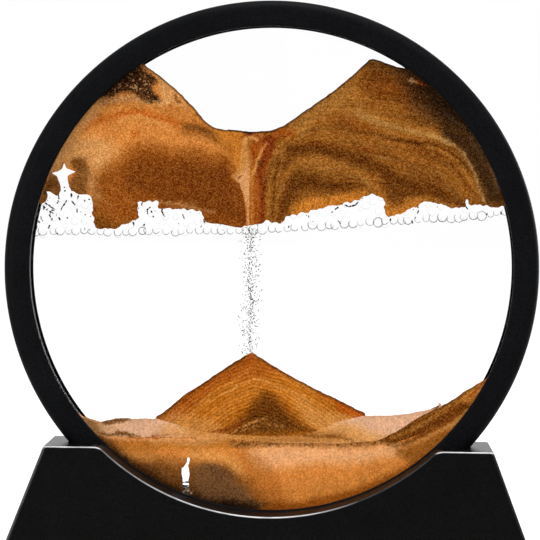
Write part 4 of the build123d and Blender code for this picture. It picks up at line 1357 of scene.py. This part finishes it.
# %% Sand finish
def sand_finish(name, layering, striping, graininess, rim_shade):
    """Loose sand: painted colour, shade of each grain, clumps, layers and fine stripes along the flow."""
    material, tree, output = new_material(name)
    place = object_place(tree)
    tint = add(tree, "ShaderNodeAttribute", attribute_name="tint").outputs
    flow = attribute(tree, "flow")
    rim = attribute(tree, "rim")
    tone, _, hollow = cells(tree, place, GRAIN_MM)
    clump, _, _ = cells(tree, place, CLUMP_MM)
    cloud = noise_at(tree, place, 1 / (CLOUD_MM * MM), 4.0)
    spot = add(tree, "ShaderNodeSeparateXYZ", {0: place}).outputs
    along_flow = add(tree, "ShaderNodeCombineXYZ", {
        0: scaled(tree, spot[0], LAYER_STRETCH), 1: scaled(tree, flow, 1 / LAYER_MM),
        2: scaled(tree, spot[2], LAYER_STRETCH)})
    layers = add(tree, "ShaderNodeTexNoise", {
        "Vector": along_flow.outputs[0], "Scale": 1.0, "Detail": 3.0, "Roughness": 0.6}).outputs["Fac"]
    turns = scaled(tree, flow, 2 * math.pi / STRIPE_MM, scaled(tree, cloud, 4.0))
    wave = calc(tree, "SINE", turns)
    parts = add(tree, "ShaderNodeSeparateColor", {0: tint["Color"]}).outputs
    lively = ramp(tree, parts[2], 0.14, 0.34, 1.0, 0.2)
    layered = calc(
        tree, "ADD", ramp(tree, layers, 0.32, 0.68, -layering, layering),
        ramp(tree, wave, 0.0, 0.95, striping / 2, -striping))
    light = multiply(
        tree, ramp(tree, clump, 0.0, 1.0, 0.97, 1.03), ramp(tree, cloud, 0.35, 0.65, 0.97, 1.03),
        scaled(tree, layered, lively, 1.0), ramp(tree, rim, 0.15, 0.85, rim_shade, 1.0))
    ground = add(tree, "ShaderNodeVectorMath", {
        0: tint["Color"], "Scale": light}, operation="SCALE").outputs[0]
    step = multiply(
        tree, scaled(tree, tone, graininess, -graininess / 2), ramp(tree, parts[0], 0.08, 0.4, 0.2, 1.0))
    grained = add(tree, "ShaderNodeVectorMath", {0: step, 1: GRAIN_TINT, 2: ground},
                  operation="MULTIPLY_ADD").outputs[0]
    stray, rare, _ = cells(tree, place, SPECK_MM)
    stray_colour = blend(tree, calc(tree, "GREATER_THAN", stray, PALE_ABOVE), STRAY_DARK, STRAY_PALE)
    is_stray = calc(tree, "GREATER_THAN", rare, STRAY_ABOVE)
    mixed = blend(tree, multiply(tree, is_stray, tint["Alpha"]), grained, stray_colour)
    kept = add(tree, "ShaderNodeVectorMath", {0: mixed, 1: DARKEST}, operation="MAXIMUM").outputs[0]
    colour = add(tree, "ShaderNodeGamma", {"Color": kept, "Gamma": SCREEN_GAMMA}).outputs[0]
    bump = add(tree, "ShaderNodeBump", {"Strength": 0.45, "Distance": 0.10 * MM, "Height": hollow})
    skin = add(tree, "ShaderNodeBsdfPrincipled", {
        "Base Color": colour, "Roughness": scaled(tree, tone, 0.2, 0.78), "Normal": bump.outputs[0],
        "Specular IOR Level": 0.03})
    tree.links.new(skin.outputs[0], output.inputs["Surface"])
    return material


print("sand finish ready")

# %% [markdown]
# ## Sand bodies: assembly
# Each body has a base colour, its veils, and a line that its layers run along. The left bank's layers
# follow the rust arch, the neck's fall straight down, the cone's are parallel to its flanks. Neighbouring
# bodies lie at slightly different depths behind the glass, so that their overlapping seams never fight
# for the same place. The lower bodies lie in the half-shade of the stand and are lifted in tone by a few
# shares. Each row gives this lift, how far the surface swells against the liquid, and the strength of
# layers, stripes, grains and dark rim. A bulge is a soft hump on the open edge: its height, its spread and
# its middle. The folds of the neck are small, so its points lie closer and its edges wander less.

# %% Lines that the layers follow
LEFT_FLOW = [(-84, 33), (-67.5, 42.5), (-57.5, 47), (-48.5, 51), (-40.5, 50), (-29.5, 47), (-17, 43),
             (6, 32.5)]
NECK_FLOW = [(-7.5, 52.5), (-7.5, 9)]
RIGHT_FLOW = [(-3, 9), (0.5, 21), (3, 32), (8, 38.5), (16.5, 42), (29, 42.5), (42.5, 40.5), (54.5, 36.5),
              (63, 30), (70, 18.5), (76, 7)]
CONE_FLOW = [(-56, -64.5), (-6.5, -29), (43.5, -56)]
VALLEY_FLOW = [(-66.5, -52.5), (0.5, -55), (43.5, -55), (80, -38)]
BED_FLOW = [(-66.5, -58.5), (0.5, -59), (40.5, -58.5), (80, -35.5)]
DRIFT_FLOW = [(33.5, -61), (57, -49), (76.5, -33)]

TOP_VEILS = LEFT_VEILS + RIGHT_VEILS + NECK_VEILS
SAND_BODIES = (
    ("left_bank_sand", "orange_sand", "c67a38", TOP_VEILS, LEFT_FLOW, 1.00, 0.1, (0.03, 0.01, 0.22, 0.5)),
    ("neck_sand", "peach_sand", "a4602a", TOP_VEILS, NECK_FLOW, 0.96, 0.4, (0.07, 0.02, 0.20, 0.3)),
    ("right_bank_sand", "brown_sand", "8b541f", TOP_VEILS, RIGHT_FLOW, 0.95, 0.1, (0.11, 0.03, 0.24, 0.5)),
    ("cone_sand", "orange_sand", "b0651c", CONE_VEILS, CONE_FLOW, 1.02, 0.1, (0.07, 0.12, 0.20, 0.65)),
    ("valley_sand", "peach_sand", "dba884", VALLEY_VEILS, VALLEY_FLOW, 1.10, -0.6, (0.02, 0.01, 0.15, 0.95)),
    ("drift_sand", "brown_sand", "744318", DRIFT_VEILS, DRIFT_FLOW, 1.05, -0.6, (0.10, 0.04, 0.24, 0.85)),
    ("bed_sand", "orange_sand", "cf7f3a", BED_VEILS, BED_FLOW, 1.22, 0.0, (0.03, 0.01, 0.16, 1.0)),
)
LAYER_STEP = 0.015
SAND_SEED = 40
BURIED = 99.0
FLAT = (0.0, 1.0, (0, 0))
USUAL_STEP = 0.46
GRID_STEP = {"neck_sand": 0.3}
LOOSE = {"neck_sand": 0.5}
BULGES = {"cone_sand": (0.7, 9.0, (-17, -34)), "right_bank_sand": (0.35, 20.0, (14, 55))}
print("sand bodies", len(SAND_BODIES))


# %% Build the sand
def rim_distance(places, open_points):
    """Distance of places to the edge against the liquid, in millimetres. A buried body has no such edge."""
    if len(open_points) == 0:
        return np.full(len(places), BURIED)
    finder = kdtree.KDTree(len(open_points))
    for i, (x, z) in enumerate(open_points):
        finder.insert((x, 0.0, z), i)
    finder.balance()
    return [finder.find((x, 0.0, z))[2] for x, z in places]


def store(mesh, name, kind, field, values):
    """Keep numbers on the vertices under a name."""
    mesh.attributes.new(name, kind, "POINT").data.foreach_set(field, np.ravel(values).astype(np.float32))


def signed_flow(places, line):
    """How far places lie above or below a flow line, in millimetres."""
    points = smooth_line(line, False)
    gap = to_line(places, points, False)[0]
    if line is NECK_FLOW:
        beyond = places[:, 0] > points[0, 0]
    else:
        beyond = places[:, 1] > np.interp(places[:, 0], points[:, 0], points[:, 1])
    return np.where(beyond, gap, -gap)


for order, (name, slot, base, veils, flow, lift, swell, texture) in enumerate(SAND_BODIES):
    draw = np.random.default_rng(SAND_SEED + order)
    outlines = front_outlines(name)
    if name == "bed_sand":
        outlines = [max(outlines, key=len), POCKET_LINE[::-1]]
    if name == "left_bank_sand":
        outlines = [with_spike(max(outlines, key=len))]
    mesh, places, open_points = sand_mesh(
        name + "_looks", outlines, GRID_STEP.get(name, USUAL_STEP), swell, BULGES.get(name, FLAT),
        LAYER_STEP * order, draw)
    loose = LOOSE.get(name, 1.0)
    colours, specks = paint(warped(places, loose, draw), base, veils, loose, draw)
    lifted = colours * lift ** (1 / SCREEN_GAMMA)
    store(mesh, "tint", "FLOAT_COLOR", "color", np.column_stack([lifted, specks]))
    store(mesh, "flow", "FLOAT", "value", signed_flow(places, flow))
    store(mesh, "rim", "FLOAT", "value", rim_distance(places, open_points))
    mesh.materials.append(sand_finish(name + "_finish", *texture))
    piece = new_piece(name + "_looks", mesh)
    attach(piece, "picture")
    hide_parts(name)
    print(piece.name, len(mesh.vertices), "vertices", len(mesh.polygons), "faces")

# %% [markdown]
# ## Bubbles
# Air that was let into the cell lies under the upper sand as a raft of bubbles, and the sand runs out
# through the gaps in it. A bubble in liquid is clear in the middle and dark round its rim, where light no
# longer gets through. Inside the raft bubble touches bubble and the rims hardly show; along its lower
# side they face the liquid and draw a row of dark arcs. One tree scatters bubbles over the raft's face,
# another strings them along its lower side. Both store how strong the rim is and whether only its lower
# half shows.
# Where only the lower half shows, the dark rim is kept to the side turned away from the light, as painted
# shade.

# %% Bubble finish
RIM_GREY = linear("141517")
LIT_FROM = (0.40, 0.0, 0.92)
BREAK_SCALE = 900.0
bubble_air, tree, output = new_material("bubble_air")
coordinates = add(tree, "ShaderNodeTexCoord")
facing = add(tree, "ShaderNodeLayerWeight", {"Blend": 0.5}).outputs["Facing"]
ring = add(tree, "ShaderNodeMapRange", {"Value": facing, "From Min": 0.30, "From Max": 0.48},
           interpolation_type="SMOOTHSTEP").outputs[0]
towards = add(tree, "ShaderNodeVectorMath", {0: coordinates.outputs["Normal"], 1: LIT_FROM},
              operation="DOT_PRODUCT").outputs["Value"]
# Painted shade: with half_only set, the dark rim shows only on the side turned away from the light at
# LIT_FROM.
shown = between(tree, attribute(tree, "half_only"), 1.0, ramp(tree, towards, 0.40, -0.20))
uneven = ramp(tree, noise_at(tree, coordinates.outputs["Object"], BREAK_SCALE, 2.0), 0.3, 0.6, 0.55, 1.0)
near_side = calc(tree, "SUBTRACT", 1.0, add(tree, "ShaderNodeNewGeometry").outputs["Backfacing"])
share = multiply(tree, ring, attribute(tree, "rim_strength"), shown, uneven, near_side)
through = add(tree, "ShaderNodeBsdfTransparent", {"Color": WHITE})
dark = add(tree, "ShaderNodeBsdfPrincipled", {"Base Color": RIM_GREY, "Roughness": 0.25})
mixed = add(tree, "ShaderNodeMixShader", {0: share, 1: through.outputs[0], 2: dark.outputs[0]})
tree.links.new(mixed.outputs[0], output.inputs["Surface"])
print("bubble finish", bubble_air.name)


# %% Ends of the bubble trees
def random_number(tree, low, high, seed):
    """A random number for each point."""
    return add(tree, "FunctionNodeRandomValue", {2: low, 3: high, 8: seed}, data_type="FLOAT").outputs[1]


def random_vector(tree, low, high, seed):
    """A random vector for each point."""
    return add(tree, "FunctionNodeRandomValue", {
        0: low, 1: high, 8: seed}, data_type="FLOAT_VECTOR").outputs[0]


def keep(tree, points, name, value):
    """Store a number on the points under a name."""
    return add(tree, "GeometryNodeStoreNamedAttribute", {
        "Geometry": points, "Name": name, "Value": value}, data_type="FLOAT", domain="POINT").outputs[0]


def plant(tree, result, points, detail, scale, material, turn=None):
    """End a tree: a rounded grain or bubble on each point, made real, smooth and dressed."""
    ball = add(tree, "GeometryNodeMeshIcoSphere", {"Radius": 1.0, "Subdivisions": detail})
    placed = {"Points": points, "Instance": ball.outputs[0], "Scale": scale}
    if turn is not None:
        placed["Rotation"] = turn
    planted = add(tree, "GeometryNodeInstanceOnPoints", placed)
    whole = add(tree, "GeometryNodeRealizeInstances", {"Geometry": planted.outputs[0]})
    smooth = add(tree, "GeometryNodeSetShadeSmooth", {"Geometry": whole.outputs[0]})
    dressed = add(tree, "GeometryNodeSetMaterial", {"Geometry": smooth.outputs[0], "Material": material})
    tree.links.new(dressed.outputs[0], result.inputs[0])


def moved_by(tree, points, offset):
    """Points moved by an offset."""
    return add(tree, "GeometryNodeSetPosition", {"Geometry": points, "Offset": offset}).outputs[0]


def in_cell(line, depth=0.0):
    """Points on the disc, in millimetres, as places in the cell at a depth."""
    return [(x * MM + CENTRE.x, depth * MM, z * MM + CENTRE.z) for x, z in line]


def flat_host(name, outlines):
    """A flat mesh in the middle of the cell's depth that fills outlines."""
    made, faces = fill(np.vstack(outlines), outlines)
    mesh = bpy.data.meshes.new(name)
    mesh.from_pydata(in_cell(made), [], faces)
    return mesh


print("tree ends ready")

# %% Bubbles inside the raft
RAFT = {"Spacing": 0.0021, "Most per area": 400000.0, "Smallest": 0.0007, "Largest": 0.0015,
        "Depth": 0.0017, "Seed": 7}
tree, given, result = new_tree("scatter_raft_bubbles", RAFT)
spread = add(tree, "GeometryNodeDistributePointsOnFaces", {
    "Mesh": given["Geometry"], "Distance Min": given["Spacing"], "Density Max": given["Most per area"],
    "Seed": given["Seed"]}, distribute_method="POISSON")
deep = multiply(tree, random_number(tree, -1.0, 1.0, 11), given["Depth"])
offset = add(tree, "ShaderNodeCombineXYZ", {1: deep})
points = moved_by(tree, spread.outputs["Points"], offset.outputs[0])
points = keep(tree, points, "rim_strength", random_number(tree, 0.0, 0.30, 12))
points = keep(tree, points, "half_only", random_number(tree, 0.2, 1.0, 13))
size = random_number(tree, given["Smallest"], given["Largest"], 14)
plant(tree, result, points, 2, size, bubble_air)
raft = grow("bubble_raft", flat_host("raft_host", [RAFT_LINE, POCKET_LINE]), tree, RAFT)
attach(raft, "picture")
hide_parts("air_bubbles")

# %% Bubbles along the lower side
RAFT_LOWER_SIDE = [(-79, 11.0), (-12, 12.1), (10, 13.9), (50, 16.8), (78, 19.4)]
ROW = {"Spacing": 0.0027, "Smallest": 0.0011, "Largest": 0.0018, "Wander": 0.0006, "Seed": 3}
tree, given, result = new_tree("string_bubble_row", ROW)
path = add(tree, "GeometryNodeMeshToCurve", {"Mesh": given["Geometry"]})
along = add(tree, "GeometryNodeCurveToPoints", {"Curve": path.outputs[0], "Length": given["Spacing"]},
            mode="LENGTH")
wander = random_vector(tree, (-1.0, -4.0, -0.7), (1.0, 4.0, 0.9), given["Seed"])
wander = add(tree, "ShaderNodeVectorMath", {0: wander, "Scale": given["Wander"]}, operation="SCALE")
points = moved_by(tree, along.outputs["Points"], wander.outputs[0])
points = keep(tree, points, "rim_strength", random_number(tree, 0.65, 1.0, 21))
whole_ring = add(tree, "FunctionNodeRandomValue", {6: 0.06, 8: 22}, data_type="BOOLEAN").outputs[3]
points = keep(tree, points, "half_only", calc(tree, "SUBTRACT", 1.0, whole_ring))
size = random_number(tree, given["Smallest"], given["Largest"], 23)
plant(tree, result, points, 3, size, bubble_air)
row = grow("bubble_row", line_mesh("row_host", in_cell(RAFT_LOWER_SIDE)), tree, ROW)
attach(row, "picture")

# %% [markdown]
# ## Loose grains
# Three more trees make what lies free. Dark grains hang on the bubbles of the raft, most of them at its
# left end, and short dark threads, at listed places, run between the bubbles. Under the neck grains fall in
# a thin stream. Their sideways spread is the product of two random numbers, which crowds them in the
# middle and leaves a few far out.

# %% Grain finish
PIT_SCALE = 6000.0
loose_grain, tree, output = new_material("loose_grain")
pits = noise_at(tree, object_place(tree), PIT_SCALE, 2.0)
shade = multiply(tree, attribute(tree, "shade"), pits)
skin = add(tree, "ShaderNodeBsdfPrincipled", {
    "Base Color": blend(tree, shade, linear("161412"), linear("8a8078")),
    "Roughness": ramp(tree, pits, 0.0, 1.0, 0.6, 0.95), "Specular IOR Level": 0.2})
tree.links.new(skin.outputs[0], output.inputs["Surface"])
print("grain finish", loose_grain.name)

# %% Grains in the raft
TRAPPED = {"Density": 1000000.0, "Left end": -0.079, "Thinned at": -0.058, "Thin share": 0.16,
           "Bare above": 0.1215, "Size": 0.00052, "Depth": 0.0026, "Clump size": 0.0035, "Seed": 5}
tree, given, result = new_tree("scatter_trapped_grains", TRAPPED)
where = add(tree, "GeometryNodeInputPosition").outputs[0]
sideways, _, upwards = add(tree, "ShaderNodeSeparateXYZ", {0: where}).outputs
thinned = multiply(tree, given["Density"], given["Thin share"])
wanted = ramp(tree, sideways, given["Left end"], given["Thinned at"], given["Density"], thinned)
clumps = noise_at(tree, where, calc(tree, "DIVIDE", 1.0, given["Clump size"]), 2.0)
low = calc(tree, "LESS_THAN", upwards, given["Bare above"])
wanted = multiply(tree, wanted, ramp(tree, clumps, 0.46, 0.66), low)
spread = add(tree, "GeometryNodeDistributePointsOnFaces", {
    "Mesh": given["Geometry"], "Density": wanted, "Seed": given["Seed"]}, distribute_method="RANDOM")
deep = multiply(tree, random_number(tree, -1.0, 1.0, 31), given["Depth"])
offset = add(tree, "ShaderNodeCombineXYZ", {1: deep})
points = moved_by(tree, spread.outputs["Points"], offset.outputs[0])
points = keep(tree, points, "shade", random_number(tree, 0.0, 1.2, 32))
few_large = multiply(
    tree, random_number(tree, 0.45, 1.0, 35), random_number(tree, 0.45, 1.0, 36), given["Size"])
scale = random_vector(tree, (0.5, 0.5, 0.6), (0.9, 0.9, 2.8), 33)
scale = add(tree, "ShaderNodeVectorMath", {0: scale, "Scale": few_large}, operation="SCALE")
turn = random_vector(tree, (-0.3, -0.8, -0.3), (0.3, 0.8, 0.3), 34)
plant(tree, result, points, 1, scale.outputs[0], loose_grain, turn)
trapped = grow("trapped_grains", flat_host("trapped_host", [RAFT_LINE]), tree, TRAPPED)
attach(trapped, "picture")

# %% Dark threads between the bubbles
THREAD_LINES = [
    [(-68.8, 21.7), (-69.5, 20.5), (-70.2, 19.5)], [(-67.2, 21.6), (-66.7, 21), (-66, 20.2)],
    [(-72, 20.6), (-71.5, 21.6)], [(-74.6, 18), (-73.7, 17.6), (-73.2, 17.2)],
    [(-75.6, 18.3), (-75.1, 18.8)], [(-76.7, 19.9), (-76, 18.9)], [(-69.6, 26.3), (-69.6, 25.9)],
    [(-67.3, 24.2), (-67.2, 22.7)], [(-64.9, 23.4), (-65.2, 22.1)], [(-71.4, 16), (-70.9, 15)],
    [(-74.6, 16.9), (-74.1, 15.9)], [(-79.2, 11.5), (-78.5, 12.9)],
    [(-41.7, 17.4), (-41.9, 18.9), (-40.7, 19.9)], [(-43.4, 21.7), (-43.8, 20.3)],
    [(-36.5, 21), (-37, 18.5), (-36.2, 17)], [(-39.9, 16.9), (-39.7, 16.4)],
    [(-46.6, 14.8), (-46.2, 13.8)], [(-52.1, 13.5), (-51.6, 13.3)], [(-57.4, 22), (-56.4, 21.5)],
    [(-30, 17.5), (-29.4, 16)], [(-23, 16), (-22.6, 14.8)],
    [(24, 21.4), (25.4, 20.8), (27.5, 21.3), (28.6, 22.4)], [(20.8, 19.8), (22, 20.6)],
    [(47.7, 21.5), (48.7, 20.7)], [(-74.2, 19.5), (-73.4, 19), (-72.7, 18.6)],
    [(-74.9, 20.2), (-74.3, 19.6)], [(-76, 20.8), (-75.2, 20.1)], [(-73.9, 18.4), (-72.9, 18.2)],
    [(-71.4, 22), (-71.6, 23.8)], [(-77.4, 16.4), (-77.2, 15.2)], [(-78.2, 14.8), (-77.8, 14)],
    [(-74.4, 13.4), (-74.8, 12.2)], [(-73.8, 15.7), (-73.5, 14.9)], [(-63, 21.9), (-62.6, 21.4)],
    [(-61.6, 22.2), (-61, 22)], [(-28.9, -72.1), (-27.7, -72), (-26.7, -72)],
    [(-28.7, -73.3), (-27.7, -73.1), (-26.7, -73.3)], [(-69.5, 25.1), (-69.4, 24.6)],
]
THREAD_DEPTH = -1.0
ALL_SMOOTH = 180
THREADS = {"Thickness": 0.00028, "Step": 0.0002, "Seed": 17}
tree, given, result = new_tree("draw_dark_threads", THREADS)
path = add(tree, "GeometryNodeMeshToCurve", {"Mesh": given["Geometry"]})
fine = add(tree, "GeometryNodeResampleCurve", {
    "Curve": path.outputs[0], "Length": given["Step"]}, mode="LENGTH")
uneven = multiply(tree, given["Thickness"], random_number(tree, 0.4, 1.5, given["Seed"]))
section = add(tree, "GeometryNodeCurvePrimitiveCircle", {"Resolution": 6, "Radius": 1.0})
tube = add(tree, "GeometryNodeCurveToMesh", {
    "Curve": fine.outputs[0], "Profile Curve": section.outputs["Curve"], "Scale": uneven, "Fill Caps": True})
shaded = keep(tree, tube.outputs[0], "shade", random_number(tree, 0.0, 0.4, 18))
whole = add(tree, "GeometryNodeRealizeInstances", {"Geometry": shaded})
dressed = add(tree, "GeometryNodeSetMaterial", {"Geometry": whole.outputs[0], "Material": loose_grain})
tree.links.new(dressed.outputs[0], result.inputs[0])
thread_host = line_mesh("thread_host", *[in_cell(line, THREAD_DEPTH) for line in THREAD_LINES])
threads = grow("dark_threads", thread_host, tree, THREADS)
tidy_shell(threads.data, ALL_SMOOTH)
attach(threads, "picture")

# %% Falling stream
STREAM_LINE = [(-7.0, 13.5), (-7.4, 0), (-6.9, -10), (-7.2, -20), (-6.8, -29.5)]
STREAM = {"Grains": 650, "Spread": 0.0044, "Depth": 0.0024, "Drop": 0.0012, "Size": 0.00019, "Seed": 9}
tree, given, result = new_tree("drop_stream_grains", STREAM)
path = add(tree, "GeometryNodeMeshToCurve", {"Mesh": given["Geometry"]})
along = add(tree, "GeometryNodeCurveToPoints", {
    "Curve": path.outputs[0], "Count": given["Grains"]}, mode="COUNT")
first = random_vector(tree, (-1.0, -1.0, -1.0), (1.0, 1.0, 1.0), given["Seed"])
second = random_vector(tree, (-1.0, -1.0, -1.0), (1.0, 1.0, 1.0), 41)
crowd = add(tree, "ShaderNodeVectorMath", {0: first, 1: second}, operation="MULTIPLY")
reach = add(tree, "ShaderNodeCombineXYZ", {0: given["Spread"], 1: given["Depth"], 2: given["Drop"]})
offset = add(tree, "ShaderNodeVectorMath", {0: crowd.outputs[0], 1: reach.outputs[0]}, operation="MULTIPLY")
points = moved_by(tree, along.outputs["Points"], offset.outputs[0])
points = keep(tree, points, "shade", random_number(tree, 0.0, 1.3, 42))
scale = random_vector(tree, (0.55, 0.55, 0.55), (1.25, 1.25, 1.5), 43)
scale = add(tree, "ShaderNodeVectorMath", {0: scale, "Scale": given["Size"]}, operation="SCALE")
turn = random_vector(tree, (-3.1, -3.1, -3.1), (3.1, 3.1, 3.1), 44)
plant(tree, result, points, 1, scale.outputs[0], loose_grain, turn)
stream = grow("falling_grains", line_mesh("stream_host", in_cell(STREAM_LINE)), tree, STREAM)
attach(stream, "picture")
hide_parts("falling_sand")
